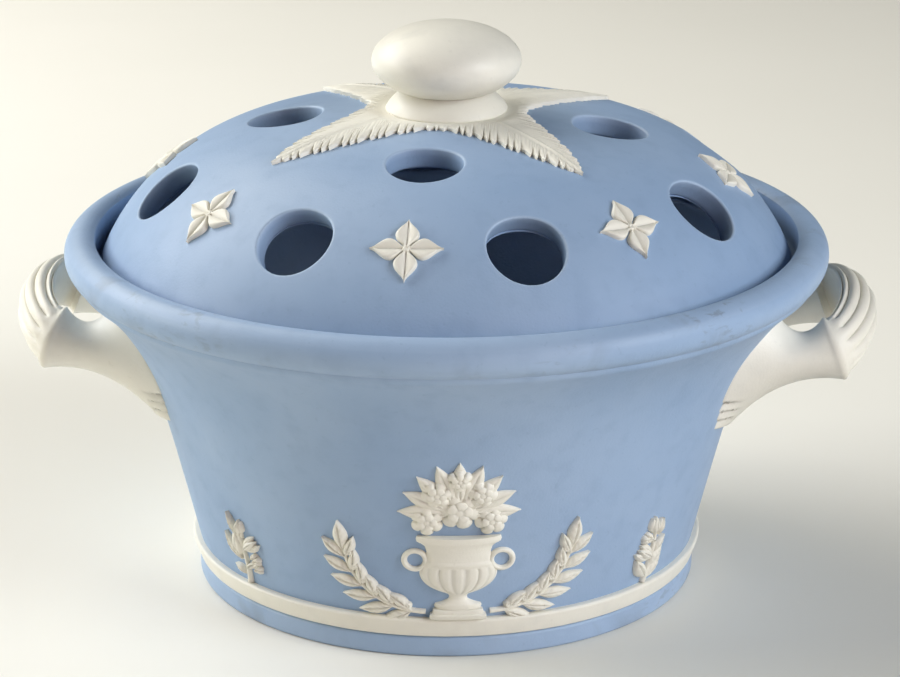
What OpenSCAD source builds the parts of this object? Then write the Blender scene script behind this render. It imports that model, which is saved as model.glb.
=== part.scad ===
// Covered potpourri vase in pale blue stoneware with white applied reliefs.
// Millimetres, +Z up, origin at the centre of the foot's underside, front towards -Y.
// Angles round the vase count from the front, positive towards +X.

/* [Bowl] */
// Radius of the foot ring
foot_r = 48.5; // [40:0.5:60]
// Height of the foot ring
foot_h = 4; // [3:0.5:8]
// Width of the ring that the bowl stands on
foot_ring_w = 6; // [4:0.5:10]
// Depth of the hollow under the base
foot_recess = 2.5; // [1.5:0.5:3.5]
// How far the wall starts inside the foot ring
foot_step = 1; // [0.5:0.1:2]
// Height of the wall from the foot to the rim
wall_h = 56.8; // [45:0.2:75]
// Outward lean of the wall, millimetres per millimetre
wall_taper = 0.245; // [0.1:0.005:0.3]
// Radius of the wall where it meets the rim
mouth_r = 70.6; // [66:0.2:85]
// How late the wall flares out, larger is later
flare_power = 6.2; // [4:0.1:9]
// Thickness of the wall
wall_t = 4.5; // [3:0.5:7]
// Thickness of the floor over the hollow
floor_t = 5; // [3:0.5:8]
// Radius of the corner between floor and wall
floor_fillet = 8; // [3:0.5:14]

/* [Rim] */
// Radius of the rolled rim
roll_r = 3.6; // [2.5:0.1:5]
// Width of the rim from its inner edge to its outer side
rim_w = 5.8; // [4.5:0.1:7]
// Height of the crease between wall and rolled rim
rim_neck = 0.8; // [0.4:0.1:2]
// Depth of the ledge for the lid below the rim's inner edge
ledge_depth = 5.7; // [4:0.1:9]
// Width of the ledge
ledge_w = 6; // [5:0.5:9]

/* [Lid] */
// Gap between the lid's edge and the rim
lid_gap = 1.5; // [0.5:0.1:2.5]
// Gap between the lid and its ledge
lid_clear = 0.3; // [0.2:0.05:0.6]
// Height of the straight edge of the lid
lid_edge_h = 1.9; // [1:0.1:4]
// Slope of the dome at its edge, degrees
edge_slope = 66; // [50:1:80]
// Radius of the dome's shoulder
shoulder_r = 40.8; // [30:0.2:50]
// Radius of the dome's crown
crown_r = 183; // [120:1:260]
// Thickness of the lid
lid_t = 4; // [3:0.5:6]
// Diameter of the scent holes
hole_d = 14.2; // [8:0.2:18]
// Number of holes in the outer ring
outer_holes = 8; // [6:1:10]
// Radius of the outer ring of holes
outer_ring_r = 54; // [48:0.5:56]
// Radius of the ring of four inner holes
inner_ring_r = 31; // [28:0.5:34]
// How far the lid's pattern is turned from the front, degrees
lid_turn = -7.4; // [-45:0.2:45]

/* [Knob] */
// Radius of the knob
knob_r = 14.1; // [10:0.1:20]
// Half the height of the knob's round head
knob_half_h = 7.2; // [5:0.1:10]
// Height of the middle of the head above the dome
knob_lift = 9.3; // [8:0.1:16]
// Radius of the knob's neck
neck_r = 8.3; // [6:0.1:10]
// Radius of the knob's foot
knob_foot_r = 11.5; // [9.5:0.1:15]
// Radius of the rounding under the edge of the knob's foot
knob_foot_round = 0.5; // [0.2:0.1:1.5]

/* [Lid ornaments] */
// How far the flowers sit inside the outer ring of holes
flower_inset = 0.8; // [-1:0.1:2]
// Length of a flower's petal
petal_len = 7; // [4:0.1:9]
// Width of a flower's petal
petal_w = 4.4; // [3:0.1:5.5]
// Thickness of a flower
flower_t = 1.3; // [0.8:0.1:2]
// Radius of the tips of the acanthus leaves
leaf_tip_r = 40; // [36:0.5:44]
// Radius at which neighbouring leaves part
leaf_joint_r = 14.8; // [13.5:0.1:20]
// Half the width that a leaf's edge is drawn to near its root
leaf_low_w = 7; // [5:0.1:9]
// Half the width that a leaf's edge is drawn to near its tip
leaf_high_w = 5; // [3:0.1:6]
// Number of serrations on each side of a leaf
leaf_teeth = 9; // [5:1:14]
// Thickness of a leaf
leaf_t = 1.2; // [0.8:0.1:2]

/* [Base band and sprigs] */
// Gap between the foot ring and the white band
band_lift = 0.1; // [0.05:0.05:1]
// Height of the white band
band_h = 3.9; // [2:0.1:7]
// Thickness of the white band
band_t = 1.3; // [0.8:0.1:2.5]
// Height of a flower sprig on the wall
sprig_h = 14.5; // [10:0.5:20]
// Angle of the sprigs from the front or the back, degrees
sprig_angle = 48.5; // [42:0.5:60]
// Thickness of a sprig
sprig_t = 1.4; // [0.8:0.1:2.5]
// Layer of slip that bonds each ornament
slip_gap = 0.05; // [0.02:0.01:0.1]

/* [Urn and branch relief] */
// Angle of the relief from the front or the back, degrees
relief_angle = 2.4; // [-10:0.2:10]
// Width of the plinth under the urn
plinth_w = 10; // [6:0.5:14]
// Height of the plinth
plinth_h = 2; // [1:0.1:4]
// Height of the urn over the plinth
urn_h = 15.6; // [11:0.2:20]
// Radius of the urn's belly
urn_r = 7; // [4.5:0.1:9]
// Thickness of the urn
urn_t = 2.2; // [1.2:0.1:3]
// Length of the leaves that stand out of the bouquet
fan_leaf = 11; // [7:0.5:14]
// Thickness of the bouquet
bouquet_t = 2.2; // [1.2:0.1:3]
// Radius of the curve of a branch
branch_r = 14.5; // [10:0.5:20]
// Number of pairs of leaves on a branch
branch_pairs = 6; // [4:1:8]
// Length of a leaf on a branch
branch_leaf = 6.4; // [4:0.2:8]
// Thickness of a branch
branch_t = 1.4; // [0.8:0.1:2.5]
// Gap between neighbouring pieces of the relief
relief_gap = 0.2; // [0.1:0.05:0.5]

/* [Handles] */
// Distance from the crease under the rim down to the top of a handle's root
root_drop = 3.6; // [2:0.1:12]
// Height of a handle's root along the wall
root_h = 22.2; // [14:0.2:28]
// Half the distance between the two roots of a handle
root_half = 16; // [10:0.5:20]
// Half the thickness of an arm at its root
root_t = 4.2; // [2.5:0.1:6]
// How far the collar stands out from the wall beside it
collar_reach = 11.8; // [8:0.2:18]
// Distance of the middle of the collar below the top of the root
collar_drop = 7.4; // [2:0.1:12]
// Half the distance between the two collars
collar_half = 16.5; // [11:0.5:22]
// Half the height of a collar
collar_hh = 6; // [4:0.1:8]
// Half the thickness of a collar
collar_hw = 5.2; // [3.5:0.1:7]
// Tilt of the collars and of the bow between them, degrees
collar_tilt = 20.4; // [0:0.2:40]
// How far the reeded grip bows out past the collars
grip_bow = 4.8; // [2:0.2:10]
// How far the middle of the grip rises out of the plane of its bow
grip_rise = 1.8; // [0:0.2:6]
// How far the handles are turned from square to the front, degrees
handle_turn = -2.6; // [-8:0.2:8]
// Half the height of the grip
grip_hh = 5.6; // [3.5:0.1:7.5]
// Depth of the grip's rounded outer side
grip_out = 4.9; // [3:0.1:6]
// Depth of the grip's inner side
grip_in = 1.4; // [0.8:0.1:3]
// Number of reeds on the grip
reeds = 5; // [3:1:7]
// Depth of the grooves between reeds, as a share of the radius
reed_depth = 0.12; // [0.04:0.01:0.2]

/* [Hidden] */
$fn = 96;
blue = [0.46, 0.58, 0.78];
white = [0.93, 0.92, 0.88];
sides = [["left", -1], ["right", 1]];
faces_round = [["front", 0], ["back", 180]];

// Bowl and rim
edge_round = 0.7;
wall_steps = 26;
roll_steps = 14;
fillet_steps = 6;
roll_start = -65;
rim_crease = 0.12;
wall_foot_r = foot_r - foot_step;
wall_top_z = foot_h + wall_h;
floor_z = foot_recess + floor_t;
rim_c_r = mouth_r + rim_crease - roll_r * cos(roll_start);
rim_c_z = wall_top_z + rim_neck - roll_r * sin(roll_start);
seat_r = rim_c_r + roll_r - rim_w;
roll_end = acos((seat_r - rim_c_r) / roll_r);
rim_edge_z = rim_c_z + roll_r * sin(roll_end);
ledge_z = rim_edge_z - ledge_depth;
ledge_r = seat_r - ledge_w;

// Lid
crown_steps = 5;
shoulder_steps = 18;
inner_holes = 4;
hole_reach = 4 * lid_t;
edge_land = 0.2;
lid_r = seat_r - lid_gap;
lid_z = ledge_z + lid_clear;
edge_z = lid_z + lid_edge_h;
shoulder_c_r = lid_r - shoulder_r * sin(edge_slope);
shoulder_c_z = edge_z - shoulder_r * cos(edge_slope);
crown_slope = asin(shoulder_c_r / (crown_r - shoulder_r));
crown_c_z = shoulder_c_z - (crown_r - shoulder_r) * cos(crown_slope);
apex_z = crown_c_z + crown_r;
inner_edge_slope = min(edge_slope, acos((lid_z + edge_land - shoulder_c_z) / (shoulder_r - lid_t)));
outer_step = 360 / outer_holes;
inner_step = 360 / inner_holes;

// Knob
head_steps = 22;
round_steps = 4;
bell_steps = 8;
bell_full = [0.23, 0.52];
foot_steps = 3;
knob_c_z = apex_z + knob_lift;
neck_angle = acos(neck_r / knob_r);

// Ornaments
petals = 4;
flower_ring_r = outer_ring_r - flower_inset;
flower_centre_r = 0.9;
flower_layer_steps = 8;
tooth = 0.5;
leaf_low_run = 0.8;
leaf_high_run = 6;
leaf_layer_steps = 10;
leaf_in_r = knob_foot_r + slip_gap;
band_z = foot_h + band_lift;
band_top_z = band_z + band_h;
relief_z = band_top_z + relief_gap;
shell_steps = 5;

// Urn, with the heights of its foot, stem, belly and neck as shares of its whole height
urn_foot_r = 4.2;
urn_foot_top = 0.07;
urn_stem_r = 1.6;
urn_stem_low = 0.13;
urn_stem_high = 0.2;
urn_belly_mid = 0.5;
urn_belly_half = 0.3;
urn_belly_from = -66;
urn_belly_to = 30;
urn_belly_steps = 8;
urn_neck_r = 5.9;
urn_neck_drop = 0.08;
urn_lip_r = 7.6;
urn_lip_h = 1.3;
urn_ear_r = 2.5;
urn_ear_w = 1.1;
urn_ear_out = 0.8;
urn_z = relief_z + plinth_h;
urn_belly_z = urn_z + urn_belly_mid * urn_h;
urn_top_z = urn_z + urn_h;

// Bouquet: the blossoms' places, from the middle of the urn's lip, and radii, then the fan of leaves
bouquet_z = urn_top_z + relief_gap;
blossoms = [
    [0, 5.1, 3.8],
    [-5.7, 3, 3],
    [5.7, 3, 3],
    [-4, 8.7, 2.9],
    [4, 8.7, 2.9],
    [0, 11.7, 2.4]];
fan_rise = 4.5;
fan_z = bouquet_z + fan_rise;
fan_side = 4;
fan_step = 22;
fan_leaf_w = 3.2;

// Branches
stem_w = 1.1;
branch_sweep = 80;
branch_c = [plinth_w / 2 + relief_gap + stem_w, relief_z + stem_w + branch_r];
branch_leaf_w = 2.6;
branch_splay = 40;
branch_start = 0.6;
berry_r = 0.9;
relief_reach = 2 * foot_r;

// Sprays of the sprigs, drawn at this height: points up the stem, then the leaves and buds as place,
// lean, length and width, then the round blossoms as place and radius
spray_h = 14.5;
left_spray = [
    [[0, 0], [0.5, 3.7], [0.2, 7], [0.6, 11]],
    [[-0.7, 5.8, 0, 5.4, 4.6], [0.3, 10.4, -14, 3.4, 2.7], [-0.4, 9.6, 22, 5.2, 1.4],
     [-0.6, 4.8, 37, 6.2, 2.2], [0.2, 1.8, 67, 3.6, 1.5], [0.8, 7.2, -53, 5.2, 2.8],
     [0.3, 3, -55, 3.4, 1.2]],
    [[3.3, 5.7, 1.35], [3.4, 3.9, 1.25]]];
right_spray = [
    [[0, 0], [0.6, 3], [0.9, 7], [0.6, 11.4]],
    [[-0.3, 10.6, 12, 3.9, 3], [0.8, 10, -16, 3.6, 1.7], [0.9, 6.2, -36, 3.9, 1.5],
     [0.5, 5.2, 58, 5.4, 3.4], [0.6, 3.4, -33, 4.4, 3], [0, 1.2, 46, 5.8, 2.6],
     [0.2, 0.8, -40, 5.4, 2.4], [0.6, 8.6, 60, 2.6, 1.1]],
    [[-1.8, 9.8, 1.35]]];

// Handles
arm_steps = 9;
grip_steps = 14;
ring_points = 40;
wall_bite = 4;
lip_h = 0.7;
lip_shrink = 0.93;
arm_dip = 7.7;
arm_top_push = 0.8;
arm_belly = 6.1;
arm_belly_up = 2;
arm_undercut = 7.3;
arm_swell = 3;
root_top_z = wall_top_z - root_drop;
root_z = root_top_z - root_h;
collar_z = root_top_z - collar_drop;
collar_up = [-sin(collar_tilt), 0, cos(collar_tilt)];
collar_ahead = [cos(collar_tilt), 0, sin(collar_tilt)];
collar_x = wall_r(collar_z) + collar_reach;
handle_sections = concat(
    [for (i = [0:arm_steps]) arm_section(i / arm_steps, -1)],
    [lip_section(-1)],
    [for (i = [0:grip_steps]) grip_section(-90 + 180 * i / grip_steps)],
    [lip_section(1)],
    [for (i = [arm_steps:-1:0]) arm_section(i / arm_steps, 1)]);

// Shared curves

// Point on a quadratic curve through its ends, drawn towards its middle point.
function curve(a, b, c, t) = (1 - t) * (1 - t) * a + 2 * t * (1 - t) * b + t * t * c;

// Point on a cubic curve through its ends, drawn towards its two middle points.
function long_curve(a, b, c, d, t) = (1 - t) * curve(a, b, c, t) + t * curve(b, c, d, t);

// Points of an arc about a centre.
function arc(centre, r, from, to, steps) =
    [for (i = [0:steps]) let (a = from + (to - from) * i / steps) centre + r * [cos(a), sin(a)]];

// Outer radius of the bowl's wall at a height.
function wall_r(z) =
    let (t = max(0, (z - foot_h) / wall_h))
    wall_foot_r + wall_taper * (z - foot_h)
    + (mouth_r - wall_foot_r - wall_taper * wall_h) * pow(t, flare_power);

// Points up the wall, set off from its surface.
function wall_points(gap, from, to, steps) =
    [for (i = [0:steps]) let (z = from + (to - from) * i / steps) [wall_r(z) + gap, z]];

// Point of the dome where it slopes by an angle, set off along its normal.
function dome_point(slope, gap) =
    slope < crown_slope
        ? [(crown_r + gap) * sin(slope), crown_c_z + (crown_r + gap) * cos(slope)]
        : [shoulder_c_r + (shoulder_r + gap) * sin(slope), shoulder_c_z + (shoulder_r + gap) * cos(slope)];

// Slope of the dome at a radius.
function dome_slope(r) =
    r < crown_r * sin(crown_slope) ? asin(r / crown_r) : asin((r - shoulder_c_r) / shoulder_r);

// Slopes at which the dome is sampled, from the middle to an end slope.
function dome_slopes(end) = concat(
    [for (i = [0:crown_steps - 1]) crown_slope * i / crown_steps],
    [for (i = [0:shoulder_steps]) crown_slope + (end - crown_slope) * i / shoulder_steps]);

// The same points in the other order.
function backwards(points) = [for (i = [len(points) - 1:-1:0]) points[i]];

// Bowl

function bowl_inner_r(z) = min(wall_r(z) - wall_t, ledge_r);

module bowl() {
    fillet_z = floor_z + floor_fillet;
    fillet_c = [bowl_inner_r(fillet_z) - floor_fillet, fillet_z];
    underside = [
        [0, foot_recess],
        [foot_r - foot_ring_w - edge_round, foot_recess],
        [foot_r - foot_ring_w, 0]];
    foot = concat(
        arc([foot_r - edge_round, edge_round], edge_round, -90, 0, fillet_steps),
        arc([foot_r - edge_round, foot_h - edge_round], edge_round, 0, 90, fillet_steps));
    wall = wall_points(0, foot_h, wall_top_z, wall_steps);
    rim = arc([rim_c_r, rim_c_z], roll_r, roll_start, roll_end, roll_steps);
    seat = [[seat_r, ledge_z], [ledge_r, ledge_z]];
    inside = [for (i = [1:wall_steps])
        let (z = ledge_z + (fillet_z - ledge_z) * i / wall_steps) [bowl_inner_r(z), z]];
    floor_corner = arc(fillet_c, floor_fillet, 0, -90, fillet_steps);
    color(blue)
        rotate_extrude()
            polygon(concat(underside, foot, wall, rim, seat, inside, floor_corner, [[0, floor_z]]));
}

// White band round the base of the wall.
module base_band() {
    inner = wall_points(slip_gap, band_z, band_top_z, 2);
    outer = wall_points(band_t, band_z + edge_round / 2, band_top_z - edge_round / 2, 2);
    low = [wall_r(band_z) + band_t - edge_round / 2, band_z];
    high = [wall_r(band_top_z) + band_t - edge_round / 2, band_top_z];
    color(white)
        rotate_extrude()
            polygon(concat([low], outer, [high], backwards(inner)));
}

// Ornaments on the wall

// Keeps the part of a flat outline, drawn in width and height, that lies on the wall.
module on_wall(angle, thickness, from, to) {
    inner = wall_points(slip_gap, from, to, shell_steps);
    outer = wall_points(slip_gap + thickness, from, to, shell_steps);
    rotate([0, 0, angle])
        intersection() {
            rotate_extrude()
                polygon(concat(outer, backwards(inner)));
            rotate([90, 0, 0])
                linear_extrude(relief_reach)
                    children();
        }
}

// Pointed leaf from the origin along +Y, the overlap of two discs.
module leaf_outline(length, width) {
    r = (length * length + width * width) / (4 * width);
    translate([0, length / 2])
        intersection_for(s = [-1, 1])
            translate([s * (r - width / 2), 0])
                circle(r);
}

// Half the width of the urn at each height, from its foot to its lip.
function urn_side(grow) = concat(
    [[urn_foot_r + grow, urn_z],
     [urn_foot_r + grow, urn_z + urn_foot_top * urn_h],
     [urn_stem_r + grow, urn_z + urn_stem_low * urn_h],
     [urn_stem_r + grow, urn_z + urn_stem_high * urn_h]],
    [for (i = [0:urn_belly_steps])
        let (a = urn_belly_from + (urn_belly_to - urn_belly_from) * i / urn_belly_steps)
        [urn_r * cos(a) + grow, urn_belly_z + urn_belly_half * urn_h * sin(a)]],
    [[urn_neck_r + grow, urn_top_z - urn_lip_h - urn_neck_drop * urn_h],
     [urn_lip_r + grow, urn_top_z - urn_lip_h],
     [urn_lip_r + grow, urn_top_z]]);

module urn_outline(grow) {
    side = urn_side(grow);
    polygon(concat(side, [for (p = backwards(side)) [-p[0], p[1]]]));
    translate([-plinth_w / 2 - grow, relief_z])
        square([plinth_w + 2 * grow, plinth_h]);
    for (s = [-1, 1])
        translate([s * (urn_r + urn_ear_out), urn_belly_z + urn_ear_r])
            difference() {
                circle(urn_ear_r + grow);
                circle(urn_ear_r - urn_ear_w - grow);
            }
}

module urn(angle) {
    color(white)
        on_wall(angle, urn_t, relief_z, urn_top_z)
            urn_outline(0);
}

// Blossoms heaped over the urn's lip, with a fan of leaves behind them.
module bouquet_outline() {
    for (b = blossoms)
        translate([b[0], bouquet_z + b[1]])
            circle(b[2]);
    for (a = [-fan_side * fan_step:fan_step:fan_side * fan_step])
        translate([0, fan_z])
            rotate(a)
                leaf_outline(fan_leaf, fan_leaf_w);
}

module bouquet(angle) {
    color(white)
        on_wall(angle, bouquet_t, bouquet_z, fan_z + fan_leaf)
            bouquet_outline();
}

// Curved stem with pairs of leaves and berries, leaning to one side.
module branch_outline(side) {
    tip_a = branch_sweep - 90;
    difference() {
        for (i = [0:branch_pairs - 1]) {
            a = -90 + branch_sweep * (i + branch_start) / branch_pairs;
            root = branch_c + branch_r * [cos(a), sin(a)];
            berry = branch_c + (branch_r - stem_w / 2 - berry_r / 2) * [cos(a), sin(a)];
            for (turn = [-branch_splay, branch_splay])
                translate([side * root[0], root[1]])
                    rotate(side * (a + turn))
                        leaf_outline(branch_leaf, branch_leaf_w);
            translate([side * berry[0], berry[1]])
                circle(berry_r);
        }
        urn_outline(relief_gap);
    }
    translate([side * branch_c[0], branch_c[1]])
        intersection() {
            difference() {
                circle(branch_r + stem_w / 2);
                circle(branch_r - stem_w / 2);
            }
            polygon([[0, 0], [0, -2 * branch_r], [side * 2 * branch_r, -2 * branch_r],
                side * 2 * branch_r * [cos(tip_a), side * sin(tip_a)]]);
        }
    translate([side * (branch_c[0] + branch_r * cos(tip_a)), branch_c[1] + branch_r * sin(tip_a)])
        rotate(side * tip_a)
            leaf_outline(branch_leaf, branch_leaf_w);
}

module branch(angle, side) {
    color(white)
        on_wall(angle, branch_t, relief_z, branch_c[1] + branch_leaf)
            branch_outline(side);
}

// Small spray of flowers: a leaning stem with leaves, buds and round blossoms.
module sprig_outline(side) {
    spray = side < 0 ? left_spray : right_spray;
    stem = spray[0];
    half = [stem_w / 2, 0];
    translate([0, relief_z])
        scale(sprig_h / spray_h) {
            polygon(concat([for (p = stem) p + half], [for (p = backwards(stem)) p - half]));
            for (leaf = spray[1])
                translate([leaf[0], leaf[1]])
                    rotate(leaf[2])
                        leaf_outline(leaf[3], leaf[4]);
            for (blossom = spray[2])
                translate([blossom[0], blossom[1]])
                    circle(blossom[2]);
        }
}

module sprig(angle, side) {
    color(white)
        on_wall(angle, sprig_t, relief_z, relief_z + sprig_h)
            sprig_outline(side);
}

// Lid

// Puts a thing on the dome, its +Z along the dome's normal and its +Y towards the knob.
module on_dome(angle, r) {
    slope = dome_slope(r);
    point = dome_point(slope, 0);
    rotate([0, 0, angle])
        translate([0, -point[0], point[1]])
            rotate([slope, 0, 0])
                children();
}

// Layer over the dome in which the ornaments lie.
module dome_layer(thickness, from, to, steps) {
    slopes = [for (i = [0:steps]) from + (to - from) * i / steps];
    rotate_extrude()
        polygon(concat(
            [for (a = slopes) dome_point(a, slip_gap + thickness)],
            [for (a = backwards(slopes)) dome_point(a, slip_gap)]));
}

module lid() {
    color(blue)
        difference() {
            rotate_extrude()
                polygon(concat(
                    [for (a = dome_slopes(edge_slope)) dome_point(a, 0)],
                    [[lid_r, lid_z], [dome_point(inner_edge_slope, -lid_t)[0], lid_z]],
                    [for (a = backwards(dome_slopes(inner_edge_slope))) dome_point(a, -lid_t)]));
            for (i = [0:outer_holes - 1])
                on_dome(lid_turn + outer_step * (i + 0.5), outer_ring_r)
                    cylinder(d = hole_d, h = hole_reach, center = true);
            for (i = [0:inner_holes - 1])
                on_dome(lid_turn + inner_step * i, inner_ring_r)
                    cylinder(d = hole_d, h = hole_reach, center = true);
        }
}

// Turned knob: a flat round head on a foot that swells out like a bell.
module knob() {
    foot_slope = dome_slope(knob_foot_r - knob_foot_round);
    foot_round_c = dome_point(foot_slope, slip_gap) + [0, knob_foot_round];
    foot_side = foot_round_c + [knob_foot_round, 0];
    neck = [neck_r, knob_c_z - knob_half_h * sin(neck_angle)];
    bell_bend = foot_side + [for (i = [0:1]) bell_full[i] * (neck - foot_side)[i]];
    underside = [for (i = [0:foot_steps - 1]) dome_point(foot_slope * i / foot_steps, slip_gap)];
    foot_edge = arc(foot_round_c, knob_foot_round, -90, 0, round_steps);
    bell = [for (i = [1:bell_steps]) curve(foot_side, bell_bend, neck, i / bell_steps)];
    head = [for (i = [1:head_steps])
        let (a = -neck_angle + (90 + neck_angle) * i / head_steps)
        [knob_r * cos(a), knob_c_z + knob_half_h * sin(a)]];
    color(white)
        rotate_extrude()
            polygon(concat(underside, foot_edge, bell, head));
}

// Four pointed petals round a small eye.
module flower_outline() {
    circle(flower_centre_r);
    for (i = [0:petals - 1])
        rotate(360 * i / petals)
            leaf_outline(petal_len, petal_w);
}

module flower(i) {
    low_slope = dome_slope(flower_ring_r - petal_len - petal_w);
    high_slope = dome_slope(min(flower_ring_r + petal_len, lid_r - edge_land));
    color(white)
        intersection() {
            dome_layer(flower_t, low_slope, high_slope, flower_layer_steps);
            on_dome(lid_turn + outer_step * i, flower_ring_r)
                linear_extrude(hole_reach, center = true)
                    flower_outline();
        }
}

// Half of a leaf's serrated edge, from where it leaves its neighbour to its tip.
function leaf_edge() =
    let (joint = leaf_joint_r / sqrt(2), start = [joint, joint], tip = [leaf_tip_r, 0])
    let (low = [leaf_joint_r - leaf_low_run, leaf_low_w], high = [leaf_tip_r - leaf_high_run, leaf_high_w])
    [for (i = [0:2 * leaf_teeth - 1])
        let (t = i / (2 * leaf_teeth), p = long_curve(start, low, high, tip, t))
        p + (i % 2 == 0 ? [0, 0] : [tooth, tooth])];

// One quarter of the leaf star, pointing along +X, kept off its neighbours by the slip.
module leaf_quarter() {
    half = [for (p = leaf_edge()) [p[0], max(0, p[1] - slip_gap)]];
    polygon(concat([[0, 0]], [for (p = half) [p[0], -p[1]]], [[leaf_tip_r, 0]], backwards(half)));
}

module leaf(i) {
    low_slope = dome_slope(leaf_in_r - leaf_t);
    high_slope = dome_slope(leaf_tip_r + tooth);
    color(white)
        rotate([0, 0, lid_turn + inner_step * (i + 0.5)])
            intersection() {
                dome_layer(leaf_t, low_slope, high_slope, leaf_layer_steps);
                linear_extrude(apex_z + hole_reach)
                    rotate(-90)
                        difference() {
                            leaf_quarter();
                            circle(leaf_in_r);
                        }
            }
}

// Handles

// Ring of points about a centre, spanned by an upward and an outward vector.
function ring(centre, up, out) =
    [for (i = [0:ring_points - 1]) let (a = 360 * i / ring_points) centre + cos(a) * up + sin(a) * out];

// How far the wall at a height falls back beside the handle's middle line.
function wall_back(y, z) = wall_r(z) - sqrt(pow(wall_r(z), 2) - y * y);

// Section of an arm from its root in the wall, 0, to its collar, 1, cut off level at the low end of the root.
function arm_section(t, side) =
    let (collar = [collar_x, 0, collar_z],
         root_top = [wall_r(root_top_z) - wall_back(root_half, root_top_z) - wall_bite, 0, root_top_z],
         root_low = [wall_r(root_z) - wall_back(root_half, root_z) - wall_bite, 0, root_z - arm_undercut],
         collar_top = collar + collar_hh * collar_up,
         collar_low = collar - collar_hh * collar_up,
         dip = [(root_top[0] + collar_top[0]) / 2 + arm_top_push, 0, root_top_z - arm_dip],
         belly = [wall_r(root_z) + arm_belly, 0, collar_low[2] + arm_belly_up],
         top = curve(root_top, dip, collar_top, t),
         low = curve(root_low, belly, collar_low, t),
         y = side * (root_half + (collar_half - root_half) * t),
         half_t = root_t + (collar_hw - root_t) * pow(t, arm_swell))
    [for (p = ring([0, y, 0] + (top + low) / 2, (top - low) / 2, [0, side * half_t, 0]))
        [p[0], p[1], max(p[2], root_z)]];

// Rounded edge in front of a collar.
function lip_section(side) =
    ring([collar_x, side * collar_half, collar_z] + lip_h * collar_ahead,
         lip_shrink * collar_hh * collar_up, [0, side * lip_shrink * collar_hw, 0]);

// How far the surface of the grip falls back between its reeds.
function reed_scale(a) = 1 - reed_depth * (1 - abs(sin(reeds * a))) * (sin(a) > 0 ? 1 : 0);

// Section of the reeded grip at an angle round its bow, from the front collar to the back one.
function grip_section(turn) =
    let (out = cos(turn) * collar_ahead + [0, sin(turn), 0],
         reach = grip_bow * cos(turn) + (abs(turn) == 90 ? lip_h : 0),
         middle = [collar_x, collar_half * sin(turn), collar_z + grip_rise * cos(turn)],
         centre = middle + reach * collar_ahead)
    [for (i = [0:ring_points - 1])
        let (a = 360 * i / ring_points, s = reed_scale(a), depth = sin(a) > 0 ? grip_out : grip_in)
        centre + s * cos(a) * grip_hh * collar_up + s * sin(a) * depth * out];

// Closed skin over a row of sections.
module skin(sections) {
    n = ring_points;
    last = len(sections) - 1;
    points = [for (s = sections) each s];
    walls = [for (j = [0:last - 1], i = [0:n - 1])
        let (k = (i + 1) % n)
        each [[j * n + i, (j + 1) * n + i, j * n + k], [j * n + k, (j + 1) * n + i, (j + 1) * n + k]]];
    caps = [[for (i = [0:n - 1]) i], [for (i = [n - 1:-1:0]) last * n + i]];
    polyhedron(points, concat(walls, caps));
}

module handle(side) {
    body_side = wall_points(slip_gap, foot_h, wall_top_z, wall_steps);
    color(white)
        rotate([0, 0, handle_turn + (side > 0 ? 0 : 180)])
            difference() {
                skin(handle_sections);
                rotate_extrude()
                    polygon(concat([[0, foot_h]], body_side, [[0, wall_top_z]]));
            }
}

bowl();
base_band();
for (s = sides)
    handle(s[1]);
for (f = faces_round) {
    urn(f[1] + relief_angle);
    bouquet(f[1] + relief_angle);
    for (s = sides) {
        branch(f[1] + relief_angle, s[1]);
        sprig(f[1] + s[1] * sprig_angle, s[1]);
    }
}
lid();
knob();
for (i = [0:inner_holes - 1])
    leaf(i);
for (i = [0:outer_holes - 1])
    flower(i);
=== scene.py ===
"""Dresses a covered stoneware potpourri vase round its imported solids.

Sizes are in millimetres and angles in degrees, unless a name says otherwise. Meshes are cast in metres.
Angles round the vase count from the front, positive towards the right handle.
"""

import logging
import math
from dataclasses import dataclass, field
from enum import Enum
from functools import cached_property
from typing import Callable

import bmesh
import bpy
import numpy as np
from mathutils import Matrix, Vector


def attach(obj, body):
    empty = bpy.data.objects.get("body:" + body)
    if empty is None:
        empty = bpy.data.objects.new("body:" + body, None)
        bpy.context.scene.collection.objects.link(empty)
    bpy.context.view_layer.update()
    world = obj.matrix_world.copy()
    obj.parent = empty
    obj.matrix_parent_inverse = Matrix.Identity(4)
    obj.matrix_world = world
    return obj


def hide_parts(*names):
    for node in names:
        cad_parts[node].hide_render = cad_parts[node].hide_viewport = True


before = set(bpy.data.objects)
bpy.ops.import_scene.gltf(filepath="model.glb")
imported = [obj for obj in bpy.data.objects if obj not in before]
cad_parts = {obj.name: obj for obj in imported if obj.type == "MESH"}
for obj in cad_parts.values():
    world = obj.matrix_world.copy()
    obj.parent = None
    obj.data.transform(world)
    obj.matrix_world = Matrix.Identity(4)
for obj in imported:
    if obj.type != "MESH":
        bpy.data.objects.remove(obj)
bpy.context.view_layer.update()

MM = 0.001
# Depth to which low relief is sunk into its ground
SINK = 0.25
# Radius from which the wobble of a piece thrown by hand is full
WOBBLE_FULL_R = 10.0
Array = np.ndarray
Values = Array | float
Ground = Callable[[Array, Array, Array], Array]
log = logging.getLogger("potpourri_vase")


class Clay(Enum):
    """The two coloured clays, by the record's material slots."""

    BLUE = "blue_stoneware"
    WHITE = "white_stoneware"


class Body(Enum):
    """The two loose bodies, by the frame's names."""

    BOWL = "bowl"
    LID = "lid"


class Mark(Enum):
    """What a point of a skin tells its finish."""

    # Painted shade: where shade falls in grooves, seams, bores, creases and the lid's inside
    PAINTED_SHADE = "hollow"
    EDGE = "edge"
    RUB = "rub"


class Bloom(Enum):
    """Ways to model a spray's leaf."""

    LEAF = "leaf"
    BUD = "bud"
    CUP = "cup"


# Small geometry


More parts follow.
